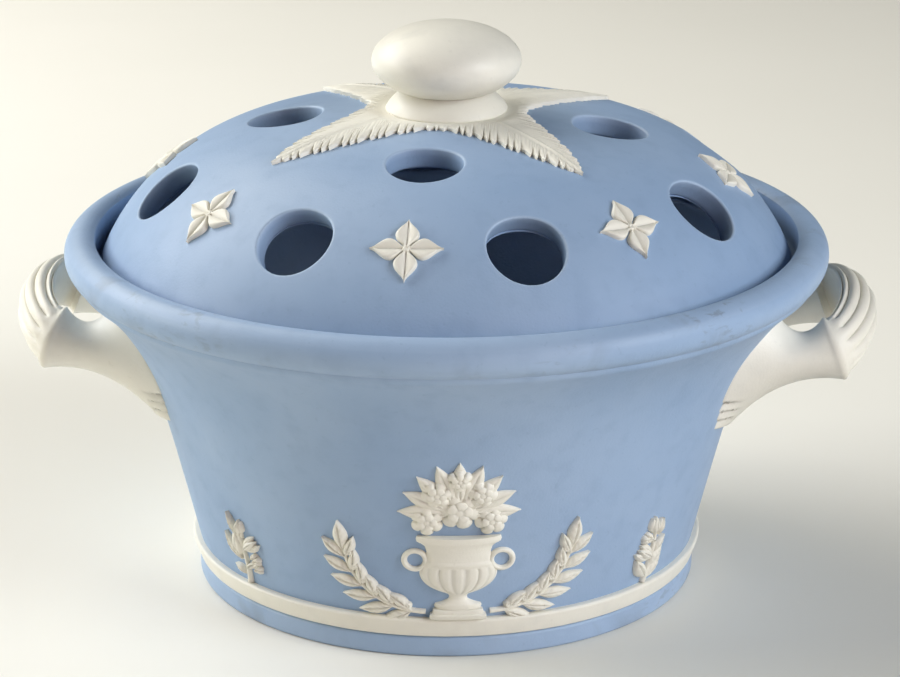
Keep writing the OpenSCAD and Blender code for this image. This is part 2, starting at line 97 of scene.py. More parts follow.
def ease(low: float, high: float, value: Values) -> Values:
    """Rises smoothly from 0 to 1.

    Args:
        low: Value at which the rise starts.
        high: Value at which it ends.
        value: Where to take it.

    Returns:
        The share risen, from 0 to 1.
    """
    share = np.clip((value - low) / (high - low), 0, 1)
    return share * share * (3 - 2 * share)


def window(rise: tuple[float, float], fall: tuple[float, float], value: Array) -> Array:
    """Rises smoothly from 0 to 1 and falls back to 0.

    Args:
        rise: Values at which the rise starts and ends.
        fall: Values at which the fall starts and ends.
        value: Where to take it.

    Returns:
        The share reached, from 0 to 1.
    """
    return ease(*rise, value) * (1 - ease(*fall, value))


def bell(width: float, value: Array) -> Array:
    """Takes a bell curve of a width, which is 1 where the value is 0."""
    return np.exp(-((value / width) ** 2))


def rounded(out: Array, reach: float = 0.97, power: float = 2) -> Array:
    """Takes the height of a rounded section.

    Args:
        out: Share of the half-width.
        reach: Share of the round that the section takes up, so that its edge isn't thin.
        power: Power of the round, 2 for a circle and more for a flatter one.

    Returns:
        The height, which is 1 in the middle.
    """
    return np.sqrt(1 - (reach * out) ** power)


def curve(start: Array, middle: Array, end: Array, share: Values) -> Array:
    """Takes points on a quadratic curve.

    Args:
        start: First point.
        middle: Point that the curve is drawn towards.
        end: Last point.
        share: Shares along the curve, from 0 to 1.

    Returns:
        One point per share.
    """
    t = np.asarray(share, float)[..., None]
    return (1 - t) ** 2 * np.asarray(start) + 2 * t * (1 - t) * np.asarray(middle) + t * t * np.asarray(end)


def evenly(points: Array, steps: int) -> Array:
    """Steps along a path of points.

    Args:
        points: Points along the path.
        steps: Number of equal steps to take.

    Returns:
        The points reached, with both ends.
    """
    length = np.concatenate([[0], np.cumsum(np.linalg.norm(np.diff(points, axis=0), axis=1))])
    reach = np.linspace(0, length[-1], steps + 1)
    return np.stack([np.interp(reach, length, points[:, axis]) for axis in (0, 1)], axis=-1)


def arc(centre: tuple[float, float], radius: float, start: float, end: float, steps: int) -> Array:
    """Takes points on an arc.

    Args:
        centre: Centre of the arc.
        radius: Its radius.
        start: Angle of the first point in degrees.
        end: Angle of the last point in degrees.
        steps: Number of steps between them.

    Returns:
        The points, one row each.
    """
    angle = np.radians(np.linspace(start, end, steps + 1))
    return np.asarray(centre) + radius * np.stack([np.cos(angle), np.sin(angle)], axis=-1)


def turned(radius: Array, angle: Array, height: Array) -> Array:
    """Places points round the vase.

    Args:
        radius: Distance from the axis.
        angle: Angle from the front in radians.
        height: Height over the table.

    Returns:
        Points in the vase's frame.
    """
    radius, angle, height = np.broadcast_arrays(radius, angle, height)
    return np.stack([radius * np.sin(angle), -radius * np.cos(angle), height], axis=-1)


class Mould:
    """Gathers closed skins in millimetres and casts them as one piece."""

    def __init__(self) -> None:
        """Starts empty."""
        self._points: list[Array] = []
        self._faces: list[list[int]] = []
        self._marks: dict[Mark, list[Array]] = {mark: [] for mark in Mark}
        self._count = 0

    def add(self, points: Array, **marks: Array | float) -> Array:
        """Adds points.

        Args:
            points: Points, in any array whose last axis is x, y, z.
            **marks: Values of the marks, by their names, one number or one per point.

        Returns:
            The points' numbers, in the same array shape.
        """
        shape = points.shape[:-1]
        size = math.prod(shape)
        self._points.append(points.reshape(-1, 3))
        for mark, stored in self._marks.items():
            value = np.asarray(marks.get(mark.value, 0.0), float)
            stored.append(np.broadcast_to(value, shape).reshape(-1))
        numbers = np.arange(self._count, self._count + size).reshape(shape)
        self._count += size
        return numbers

    def face(self, corners: Array) -> None:
        """Adds one face."""
        self._faces.append([int(corner) for corner in corners])

    def strip(self, low: Array, high: Array) -> None:
        """Joins two rings of points, given by their numbers, with a strip of quads."""
        for quad in zip(low, np.roll(low, -1), np.roll(high, -1), high):
            self.face(quad)

    def loft(self, rings: Array, closed: bool = False, **marks: Array | float) -> None:
        """Skins a row of rings into a closed solid.

        Args:
            rings: Rings of points, with axes ring, point, x y z.
            closed: True joins the last ring to the first, False caps both.
            **marks: Values of the marks.
        """
        numbers = self.add(rings, **marks)
        for low, high in zip(numbers[:-1], numbers[1:]):
            self.strip(low, high)
        if closed:
            self.strip(numbers[-1], numbers[0])
        else:
            self.face(numbers[0][::-1])
            self.face(numbers[-1])

    def lathe(
        self,
        profile: Array,
        segments: int,
        closed: bool = False,
        wobble: Callable[[Array, Array], Array] | None = None,
        **marks: Array,
    ) -> None:
        """Turns a profile into a round solid.

        Args:
            profile: Radius and height of each profile point.
            segments: Number of segments round the axis.
            closed: True where the profile's ends meet off the axis.
            wobble: Gives the radius to add, from angle in radians and height.
            **marks: Values of the marks, one per profile point.
        """
        angle = np.linspace(0, 2 * math.pi, segments, endpoint=False)[None, :]
        radius = np.repeat(profile[:, :1], segments, axis=1)
        height = np.repeat(profile[:, 1:], segments, axis=1)
        if wobble is not None:
            radius = radius + np.minimum(1.0, radius / WOBBLE_FULL_R) * wobble(angle, height)
        spread = {name: np.repeat(value[:, None], segments, axis=1) for name, value in marks.items()}
        self.loft(turned(radius, angle, height), closed, **spread)

    def cast(self, node: str, part_of: Body, clay: Clay, crisp: float = 45.0) -> None:
        """Casts the skins as one piece that stands for a solid of the frame.

        Args:
            node: Name of the solid that the piece replaces.
            part_of: The body that it rides on.
            clay: The clay that it is made of.
            crisp: Angle over which an edge looks sharp.
        """
        name = f"{node}_clay"
        body = part_of.value
        mesh = bpy.data.meshes.new(name)
        mesh.from_pydata((np.concatenate(self._points) * MM).tolist(), [], self._faces)
        for mark, stored in self._marks.items():
            values = mesh.attributes.new(mark.value, "FLOAT", "POINT")
            values.data.foreach_set("value", np.concatenate(stored).astype(np.float32))
        skin = bmesh.new()
        skin.from_mesh(mesh)
        bmesh.ops.recalc_face_normals(skin, faces=skin.faces)
        skin.to_mesh(mesh)
        skin.free()
        mesh.shade_smooth()
        mesh.set_sharp_from_angle(angle=math.radians(crisp))
        piece = bpy.data.objects.new(name, mesh)
        bpy.context.scene.collection.objects.link(piece)
        piece.data.materials.append(FINISHES[clay].material)
        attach(piece, body)
        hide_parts(node)
        log.info("%s: %d faces on %s", name, len(mesh.polygons), body)


# Shader work


class Shade:
    """A shader socket that takes part in Python arithmetic."""

    def __init__(self, bench: "Bench", socket: bpy.types.NodeSocket) -> None:
        """Wraps a socket of a bench's tree."""
        self.bench = bench
        self.socket = socket

    def _math(self, operation: str, first: "Shade | float", second: "Shade | float") -> "Shade":
        """Adds one Math node."""
        return self.bench.make("ShaderNodeMath", {"operation": operation}, {0: first, 1: second})

    def __add__(self, other: "Shade | float") -> "Shade":
        """Adds."""
        return self._math("ADD", self, other)

    def __radd__(self, other: float) -> "Shade":
        """Adds to a number."""
        return self._math("ADD", other, self)

    def __sub__(self, other: "Shade | float") -> "Shade":
        """Subtracts."""
        return self._math("SUBTRACT", self, other)

    def __rsub__(self, other: float) -> "Shade":
        """Subtracts from a number."""
        return self._math("SUBTRACT", other, self)

    def __mul__(self, other: "Shade | float") -> "Shade":
        """Multiplies."""
        return self._math("MULTIPLY", self, other)

    def __rmul__(self, other: float) -> "Shade":
        """Multiplies a number."""
        return self._math("MULTIPLY", other, self)

    def rise(self, low: float, high: float) -> "Shade":
        """Rises smoothly from 0 to 1.

        Args:
            low: Value at which the rise starts.
            high: Value at which it ends.

        Returns:
            The share risen.
        """
        settings = {"interpolation_type": "SMOOTHSTEP"}
        inputs = {"Value": self, "From Min": low, "From Max": high}
        return self.bench.make("ShaderNodeMapRange", settings, inputs)


Colour = tuple[float, float, float]
Input = Shade | float | Colour


@dataclass(frozen=True)
class Noise:
    """A cloudy pattern: its scale in features a metre, and the levels between which its patches come in."""

    scale: float
    detail: float = 2.0
    distort: float = 0.0
    low: float = 0.0
    high: float = 1.0


class Bench:
    """Builds the node tree of a material or of the world."""

    def __init__(self, owner: bpy.types.Material | bpy.types.World) -> None:
        """Empties the owner's tree.

        Args:
            owner: The material or world to work on.
        """
        self.owner = owner
        owner.use_nodes = True
        self.tree = owner.node_tree
        self.tree.nodes.clear()

    def make(
        self,
        kind: str,
        settings: dict[str, object],
        inputs: dict[str | int, Input],
        output: str | int = 0,
    ) -> Shade:
        """Adds a node.

        Args:
            kind: The node's type.
            settings: Its settings, set before its sockets.
            inputs: Values or links of its sockets, by name or number.
            output: The socket to hand on.

        Returns:
            The chosen output.
        """
        node = self.tree.nodes.new(kind)
        for name, value in settings.items():
            setattr(node, name, value)
        for name, value in inputs.items():
            socket = node.inputs[name]
            if isinstance(value, Shade):
                self.tree.links.new(value.socket, socket)
            elif isinstance(value, tuple) and socket.type == "RGBA":
                socket.default_value = (*value, 1.0)
            else:
                socket.default_value = value
        return Shade(self, node.outputs[output])

    def noise(self, place: Shade, noise: Noise) -> Shade:
        """Adds a cloudy pattern."""
        inputs = {"Vector": place, "Scale": noise.scale, "Detail": noise.detail, "Distortion": noise.distort}
        return self.make("ShaderNodeTexNoise", {}, inputs, "Fac")

    def patches(self, place: Shade, noise: Noise) -> Shade:
        """Adds the patches of a cloudy pattern."""
        return self.noise(place, noise).rise(noise.low, noise.high)

    def blend(self, first: Shade | Colour, second: Shade | Colour, share: Shade | float) -> Shade:
        """Mixes two colours by a share of the second."""
        return self.make("ShaderNodeMix", {"data_type": "RGBA"}, {0: share, 6: first, 7: second}, 2)

    def mark(self, mark: Mark) -> Shade:
        """Reads a mark off the mesh."""
        return self.make("ShaderNodeAttribute", {"attribute_name": mark.value}, {}, "Fac")

    def surface(
        self, shader: Shade, output: str = "ShaderNodeOutputMaterial"
    ) -> bpy.types.Material | bpy.types.World:
        """Ends the tree with a surface shader.

        Args:
            shader: The shader.
            output: Type of the tree's output node.

        Returns:
            The tree's owner.
        """
        end = self.tree.nodes.new(output)
        self.tree.links.new(shader.socket, end.inputs["Surface"])
        return self.owner


@dataclass(frozen=True)
class Stoneware:
    """An unglazed clay with clouded colour, fine specks, a dry, sandy skin and painted shade in its grooves
    and creases.
    """

    name: str
    body: Colour
    pale: Colour
    deep: Colour
    speck: Colour
    smudge: Colour = (0.17, 0.19, 0.22)
    cloud: float = 0.3
    mottle: float = 0.18
    edge: float = 0.5
    # Share of painted shade, in the deep colour, in grooves, seams, bores and creases
    hollow: float = 0.5
    specks: float = 0.1
    smudges: float = 0.4
    scuffs: float = 0.5
    roughness: float = 0.5
    mottle_rough: float = 0.16
    rub_polish: float = 0.06
    shine: float = 0.4
    grain_mm: float = 0.05
    grain_share: float = 0.7
    cloud_noise: Noise = Noise(24.0, 3.0, low=0.35, high=0.7)
    mottle_noise: Noise = Noise(240.0, 4.0, low=0.45, high=0.75)
    grain_noise: Noise = Noise(2200.0)
    speck_noise: Noise = Noise(900.0, 1.0, low=0.69, high=0.76)
    smudge_noise: Noise = Noise(70.0, 5.0, 0.6, 0.55, 0.72)
    scuff_zone: Noise = Noise(32.0, low=0.57, high=0.65)
    scuff_noise: Noise = Noise(380.0, 3.0, 0.4, 0.53, 0.68)
    scuff_stretch: tuple[float, float, float] = (1.0, 1.0, 2.5)

    @cached_property
    def material(self) -> bpy.types.Material:
        """The finish as a material, made once."""
        bench = Bench(bpy.data.materials.new(self.name))
        place = bench.make("ShaderNodeTexCoord", {}, {}, "Object")
        mottle = bench.noise(place, self.mottle_noise)
        rub = bench.mark(Mark.RUB)
        stretch = {0: place, 1: self.scuff_stretch}
        level = bench.make("ShaderNodeVectorMath", {"operation": "MULTIPLY"}, stretch, "Vector")
        scuff = rub * bench.patches(place, self.scuff_zone) * bench.patches(level, self.scuff_noise)
        layers = (
            (self.pale, bench.patches(place, self.cloud_noise) * self.cloud),
            (self.deep, mottle.rise(self.mottle_noise.low, self.mottle_noise.high) * self.mottle),
            (self.pale, bench.mark(Mark.EDGE) * self.edge),
            # Painted shade: the deep colour laid into grooves, seams, bores and creases
            (self.deep, bench.mark(Mark.PAINTED_SHADE) * self.hollow),
            (self.speck, bench.patches(place, self.speck_noise) * self.specks),
            (self.smudge, rub * bench.patches(place, self.smudge_noise) * self.smudges),
            (self.smudge, scuff * self.scuffs),
        )
        colour = self.body
        for tint, share in layers:
            colour = bench.blend(colour, tint, share)
        least_rough = self.roughness - self.mottle_rough / 2
        grain = bench.noise(place, self.grain_noise) * self.grain_share + mottle
        bump = {"Height": grain, "Strength": 1.0, "Distance": self.grain_mm * MM}
        inputs = {
            "Base Color": colour,
            "Roughness": mottle * self.mottle_rough + least_rough - rub * self.rub_polish,
            "Specular IOR Level": self.shine,
            "Normal": bench.make("ShaderNodeBump", {}, bump),
        }
        return bench.surface(bench.make("ShaderNodeBsdfPrincipled", {}, inputs))


@dataclass(frozen=True)
class Paper:
    """The plain cream sheet that the vase stands on, as pale far off as it is near the vase."""

    name: str = "cream_paper"
    body: Colour = (0.86, 0.835, 0.76)
    shade: Colour = (0.82, 0.795, 0.72)
    far: Colour = (0.7, 0.68, 0.62)
    far_from: float = 0.62
    far_full: float = 1.6
    cloud_noise: Noise = Noise(9.0, 3.0)
    roughness: float = 0.85

    @cached_property
    def material(self) -> bpy.types.Material:
        """The finish as a material, made once."""
        bench = Bench(bpy.data.materials.new(self.name))
        place = bench.make("ShaderNodeTexCoord", {}, {}, "Object")
        away = bench.make("ShaderNodeVectorMath", {"operation": "LENGTH"}, {0: place}, "Value")
        seen = bench.make("ShaderNodeLightPath", {}, {}, "Is Camera Ray")
        glow = away.rise(self.far_from, self.far_full) * seen
        inputs = {
            "Base Color": bench.blend(self.body, self.shade, bench.noise(place, self.cloud_noise)),
            "Roughness": self.roughness,
            "Emission Color": bench.blend((0, 0, 0), self.far, glow),
            "Emission Strength": 1.0,
        }
        return bench.surface(bench.make("ShaderNodeBsdfPrincipled", {}, inputs))


FINISHES = {
    Clay.BLUE: Stoneware(
        Clay.BLUE.value,
        body=(0.279, 0.397, 0.578),
        pale=(0.45, 0.56, 0.71),
        deep=(0.19, 0.28, 0.43),
        speck=(0.15, 0.21, 0.32),
    ),
    Clay.WHITE: Stoneware(
        Clay.WHITE.value,
        body=(0.816, 0.786, 0.69),
        pale=(0.87, 0.85, 0.77),
        deep=(0.56, 0.55, 0.5),
        speck=(0.5, 0.47, 0.4),
        mottle=0.12,
        # Painted shade in the white reliefs' grooves and creases
        hollow=0.45,
        smudges=0.15,
        scuffs=0.0,
        roughness=0.46,
    ),
}


# Grounds that ornaments lie on


@dataclass(frozen=True)
class Wall:
    """The outside of the bowl's flared wall."""

    foot_r: float = 48.5
    foot_h: float = 4.0
    foot_step: float = 1.0
    height: float = 56.8
    taper: float = 0.245
    mouth_r: float = 70.6
    flare_power: float = 6.2
    oval: float = 0.07
    oval_phase: float = 0.6
    waver: float = 0.04
    waver_phase: float = -1.1
    waver_climb: float = 0.05

    @property
    def low_r(self) -> float:
        """Radius where the wall starts on the foot."""
        return self.foot_r - self.foot_step

    @property
    def top_z(self) -> float:
        """Height where the wall meets the rim."""
        return self.foot_h + self.height

    def radius(self, z: Values) -> Values:
        """Takes the outer radius of the wall.

        Args:
            z: Height over the table.

        Returns:
            The radius there.
        """
        share = np.maximum(0, (z - self.foot_h) / self.height)
        flare = self.mouth_r - self.low_r - self.taper * self.height
        return self.low_r + self.taper * (z - self.foot_h) + flare * share**self.flare_power

    def wobble(self, angle: Array, z: Array) -> Array:
        """Radius to add for a wall thrown by hand, from angle in radians and height."""
        climb = self.waver_phase + self.waver_climb * z
        return self.oval * np.cos(2 * angle + self.oval_phase) + self.waver * np.cos(3 * angle + climb)

    def ground(self, angle: float) -> Ground:
        """Makes a ground on the wall.

        Args:
            angle: Angle of the ground's middle line.

        Returns:
            A function from width, height and relief to points.
        """
        def place(x: Array, z: Array, relief: Array) -> Array:
            """Places points on the wall."""
            radius = self.radius(z)
            return turned(radius + relief, math.radians(angle) + np.arcsin(x / radius), z)

        return place


@dataclass(frozen=True)
class Dome:
    """The outside of the lid: a shoulder arc that runs into a flatter crown arc."""

    edge_r: float
    edge_z: float
    edge_slope: float = 66.0
    shoulder_r: float = 40.8
    crown_r: float = 183.0

    @cached_property
    def shoulder_c(self) -> tuple[float, float]:
        """Radius and height of the shoulder arc's centre."""
        slope = math.radians(self.edge_slope)
        radius = self.edge_r - self.shoulder_r * math.sin(slope)
        return radius, self.edge_z - self.shoulder_r * math.cos(slope)

    @cached_property
    def crown_slope(self) -> float:
        """Slope in radians where the two arcs meet."""
        return math.asin(self.shoulder_c[0] / (self.crown_r - self.shoulder_r))

    @property
    def crown_arc(self) -> float:
        """Length of the crown arc."""
        return self.crown_r * self.crown_slope

    @property
    def whole_arc(self) -> float:
        """Length from the top to the edge, along the surface."""
        return self.crown_arc + self.shoulder_r * (math.radians(self.edge_slope) - self.crown_slope)

    @property
    def crown_c_z(self) -> float:
        """Height of the crown arc's centre."""
        return self.shoulder_c[1] - (self.crown_r - self.shoulder_r) * math.cos(self.crown_slope)

    @property
    def top_z(self) -> float:
        """Height of the dome's top."""
        return self.crown_c_z + self.crown_r

    def slope(self, arc_length: Values) -> Array:
        """Takes the slope of the surface.

        Args:
            arc_length: Length along the surface from the top.

        Returns:
            The slope in radians, 0 at the top.
        """
        crown = arc_length / self.crown_r
        shoulder = self.crown_slope + (arc_length - self.crown_arc) / self.shoulder_r
        return np.where(arc_length < self.crown_arc, crown, shoulder)

    def arc_at(self, radius: Values) -> Array:
        """Measures along the surface from the top.

        Args:
            radius: Distance from the axis at which to end.

        Returns:
            The length along the surface.
        """
        crown = self.crown_r * np.arcsin(np.minimum(radius / self.crown_r, 1))
        bend = np.arcsin(np.clip((radius - self.shoulder_c[0]) / self.shoulder_r, -1, 1))
        shoulder = self.crown_arc + self.shoulder_r * (bend - self.crown_slope)
        return np.where(crown < self.crown_arc, crown, shoulder)

    def section(self, arc_length: Values, gap: Values) -> tuple[Array, Array]:
        """Takes points of the dome's section.

        Args:
            arc_length: Length along the surface from the top.
            gap: Distance from the surface along the normal.

        Returns:
            Radius and height of each point.
        """
        slope = self.slope(arc_length)
        on_crown = arc_length < self.crown_arc
        reach = np.where(on_crown, self.crown_r, self.shoulder_r) + gap
        centre_r = np.where(on_crown, 0, self.shoulder_c[0])
        centre_z = np.where(on_crown, self.crown_c_z, self.shoulder_c[1])
        return centre_r + reach * np.sin(slope), centre_z + reach * np.cos(slope)

    def point(self, arc_length: Values, angle: Values, gap: Values) -> Array:
        """Points at a length along the surface and an angle in radians, set off along the normal."""
        radius, height = self.section(arc_length, gap)
        return turned(radius, angle, height)

    def ground(self, angle: float, radius: float) -> Ground:
        """Makes a ground about a place on the dome, its height axis towards the knob.

        Args:
            angle: Angle of the place.
            radius: Radius of the place.

        Returns:
            A function from width, height and relief to points.
        """
        middle = self.arc_at(radius)

        def place(x: Array, y: Array, relief: Array) -> Array:
            """Places points on the dome."""
            along = middle - y
            return self.point(along, math.radians(angle) + x / self.section(along, 0)[0], relief)

        return place

    def star(self, angle: float) -> Ground:
        """Makes a ground that runs outwards from the top.

        Args:
            angle: Angle of its middle line.

        Returns:
            A function from distance aside, distance from the axis along the middle line and relief to points.
        """
        def place(x: Array, y: Array, relief: Array) -> Array:
            """Places points on the dome."""
            return self.point(self.arc_at(np.hypot(x, y)), math.radians(angle) + np.arctan2(x, y), relief)

        return place


# Low relief


# Rings of a blossom's mesh, as shares of its radius
BLOSSOM_RINGS = (0.06, 0.14, 0.22, 0.3, 0.4, 0.52, 0.64, 0.76, 0.86, 0.93, 0.98, 1.0)
# How far petals part at their ends, how high they rise over the parting, and where the eye's dimple lies
PETAL_PARTING = 0.2
PETAL_RISE = 0.3
SEAM_DEPTH = 0.2
EYE_R = 0.3
EYE_W = 0.1
# Length, width and height of a bud's outer petals and of its middle one, as shares of the whole bud's
OUTER_PETAL = (0.94, 0.6, 0.8)
MIDDLE_PETAL = (0.86, 0.62, 1.0)
MIDDLE_LIFT = 0.12
# Share of the width that is left at a stem's end, and how often its path is smoothed
STEM_END = 0.6
STEM_SMOOTHING = 6


@dataclass(frozen=True)
class Leaf:
    """A pointed leaf or petal that swells out of its ground."""

    x: float
    y: float
    lean: float
    length: float
    width: float
    thick: float
    bend: float = 0.0
    widest: float = 0.45
    neck: float = 0.25
    groove: float = 0.35
    veins: int = 0
    dish: float = 0.0
    taper: float = 1.0
    lift: float = 0.0
    least_w: float = 0.02
    end_height: float = 0.45
    groove_w: float = 0.16
    vein_slant: float = 1.2
    vein_depth: float = 0.18
    vein_shade: float = 0.6

    def half_width(self, share: Array) -> Array:
        """Takes half the leaf's width.

        Args:
            share: Share of the length.

        Returns:
            Half the width there.
        """
        power = math.log(0.5) / math.log(self.widest)
        swell = np.sin(math.pi * np.clip(share, 0, 1) ** power) ** self.taper
        return self.width / 2 * np.maximum(np.maximum(swell, self.neck * (1 - share) ** 2), self.least_w)

    def vein(self, share: Array, out: Array) -> Array:
        """How deep the side veins are cut at shares of the length and of the half-width, from 0 to 1."""
        wave = np.abs(np.sin(math.pi * (self.veins * share - self.vein_slant * out)))
        return (1 - wave) ** 3 * window((0.1, 0.3), (0.8, 1), out)

    def relief(self, share: Array, side: Array) -> tuple[Array, Array]:
        """Shapes the leaf's skin.

        Args:
            share: Share of the length.
            side: Share of the half-width, from -1 to 1.

        Returns:
            Height over the ground, and the painted shade in the midrib groove and the veins.
        """
        out = np.abs(side)
        along = self.end_height + (1 - self.end_height) * np.sin(math.pi * (0.1 + 0.82 * share))
        across = rounded(out, power=2 + 6 * self.dish) * (1 - self.dish * (1 - out))
        rib = bell(self.groove_w, out) * window((0, 0.12), (0.72, 0.95), share)
        vein = self.vein(share, out) if self.veins else 0.0
        height = self.thick * along * (across - self.groove * rib - self.vein_depth * vein)
        # The second value is painted shade, strongest in the midrib groove and the veins
        return self.lift + height, np.clip(rib + self.vein_shade * vein, 0, 1)


class Relief(Mould):
    """A mould of low relief that is modelled on a ground."""

    def __init__(self, ground: Ground) -> None:
        """Takes the ground to work on."""
        super().__init__()
        self.ground = ground

    def slab(self, plan: Array, height: Array, hollow: Array | float = 0.0, closed: bool = False) -> None:
        """Raises a patch of the ground.

        Args:
            plan: Places on the ground, with axes row, column, x y.
            height: Height over the ground at each place.
            hollow: Painted shade laid on the skin there, darker in its grooves.
            closed: True joins the last row to the first.
        """
        x, y = plan[..., 0], plan[..., 1]
        top = self.ground(x, y, height)
        low = self.ground(x[:, ::-1], y[:, ::-1], np.full_like(height, -SINK))
        hollow = np.broadcast_to(hollow, height.shape)
        marks = np.concatenate([hollow, 0 * hollow], axis=1)
        self.loft(np.concatenate([top, low], axis=1), closed, hollow=marks)

    @staticmethod
    def spread(spine: Array, turn: Array, half: Array, columns: int) -> tuple[Array, Array]:
        """Spreads a spine to both sides.

        Args:
            spine: Points along the spine.
            turn: Its direction at each point in radians, 0 along the height axis.
            half: Half the width at each point.
            columns: Number of columns across.

        Returns:
            The places, and the share of the half-width of each column.
        """
        side = np.sin(np.linspace(-math.pi / 2, math.pi / 2, columns))
        aside = np.stack([np.cos(turn), np.sin(turn)], axis=-1)
        return spine[:, None] + (half[:, None] * side)[..., None] * aside[:, None], side

    def leaf(self, leaf: Leaf, rows: int = 24, columns: int = 15) -> None:
        """Models one leaf.

        Args:
            leaf: The leaf.
            rows: Number of rows of points along it.
            columns: Number of points across it.
        """
        share = np.linspace(0, 1, rows)
        turn = np.radians(leaf.lean + leaf.bend * share)
        ahead = np.stack([-np.sin(turn), np.cos(turn)], axis=-1) * leaf.length / (rows - 1)
        spine = np.array([leaf.x, leaf.y]) + np.cumsum(ahead, axis=0) - ahead[0]
        plan, side = self.spread(spine, turn, leaf.half_width(share), columns)
        self.slab(plan, *leaf.relief(share[:, None], side[None, :]))

    def bud(self, leaf: Leaf, open_angle: float) -> None:
        """Models a flower seen from the side, as two outer petals and a middle one.

        Args:
            leaf: Place, lean and size of the whole flower.
            open_angle: How far the outer petals lean out.
        """
        size = np.array([leaf.length, leaf.width, leaf.thick])
        for side in (-1, 1):
            self.leaf(Leaf(
                leaf.x, leaf.y, leaf.lean + side * open_angle, *(size * OUTER_PETAL),
                bend=-side * open_angle, widest=0.5, groove=0.15,
            ))
        self.leaf(Leaf(
            leaf.x, leaf.y, leaf.lean, *(size * MIDDLE_PETAL),
            widest=0.5, groove=0.2, lift=MIDDLE_LIFT * leaf.thick,
        ))

    def rosette(
        self,
        x: float,
        y: float,
        radius: float,
        thick: float,
        petals: int = 0,
        turn: float = 0.0,
        eye: float = 0.0,
        lift: float = 0.0,
    ) -> None:
        """Models a round blossom, or a plain bead if it has no petals.

        Args:
            x: Place across the ground.
            y: Place up the ground.
            radius: Radius of the blossom.
            thick: Its height.
            petals: Number of petals.
            turn: Angle of the first petal.
            eye: Depth of the ring round the eye, as a share of the height.
            lift: Height of the layer that it lies on.
        """
        angle = np.linspace(0, 2 * math.pi, max(24, 12 * petals), endpoint=False)
        share = np.array(BLOSSOM_RINGS)[:, None]
        lobe = np.abs(np.cos(petals / 2 * (angle - math.radians(turn))))[None, :]
        reach = radius * share * (1 - PETAL_PARTING * (1 - lobe**0.6) * share)
        crown = 1 - PETAL_RISE + PETAL_RISE * lobe**0.7 * ease(0.1, 0.6, share)
        seam = (1 - lobe) ** 4 * ease(0.2, 0.5, share)
        dimple = eye * bell(EYE_W, share - EYE_R)
        height = lift + thick * (rounded(share, 0.985) * crown - SEAM_DEPTH * seam - dimple)
        # Painted shade in the seams between petals and in the ring round the eye
        hollow = np.clip(seam + 2 * dimple, 0, 1)
        plan_x = x + reach * np.sin(angle)
        plan_y = y + reach * np.cos(angle)
        top = self.ground(plan_x, plan_y, height)
        low = self.ground(plan_x[-1:], plan_y[-1:], np.full_like(height[-1:], -SINK))
        marks = np.concatenate([hollow, 0 * hollow[-1:]])
        self.loft(np.concatenate([top, low]), hollow=marks)

    def stem(self, points: list[tuple[float, float]], width: float, thick: float) -> None:
        """Models a half-round stem along some points, tapering to its end.

        Args:
            points: Places along the stem.
            width: Its width at the start.
            thick: Its height at the start.
        """
        spine = evenly(np.array(points, float), 24)
        for _ in range(STEM_SMOOTHING):
            spine[1:-1] = (spine[:-2] + 2 * spine[1:-1] + spine[2:]) / 4
        ahead = np.gradient(spine, axis=0)
        taper = np.linspace(1, STEM_END, len(spine))
        plan, side = self.spread(spine, np.arctan2(-ahead[:, 0], ahead[:, 1]), width / 2 * taper, 9)
        self.slab(plan, thick * taper[:, None] * rounded(side[None, :]))


# Pieces of the bowl


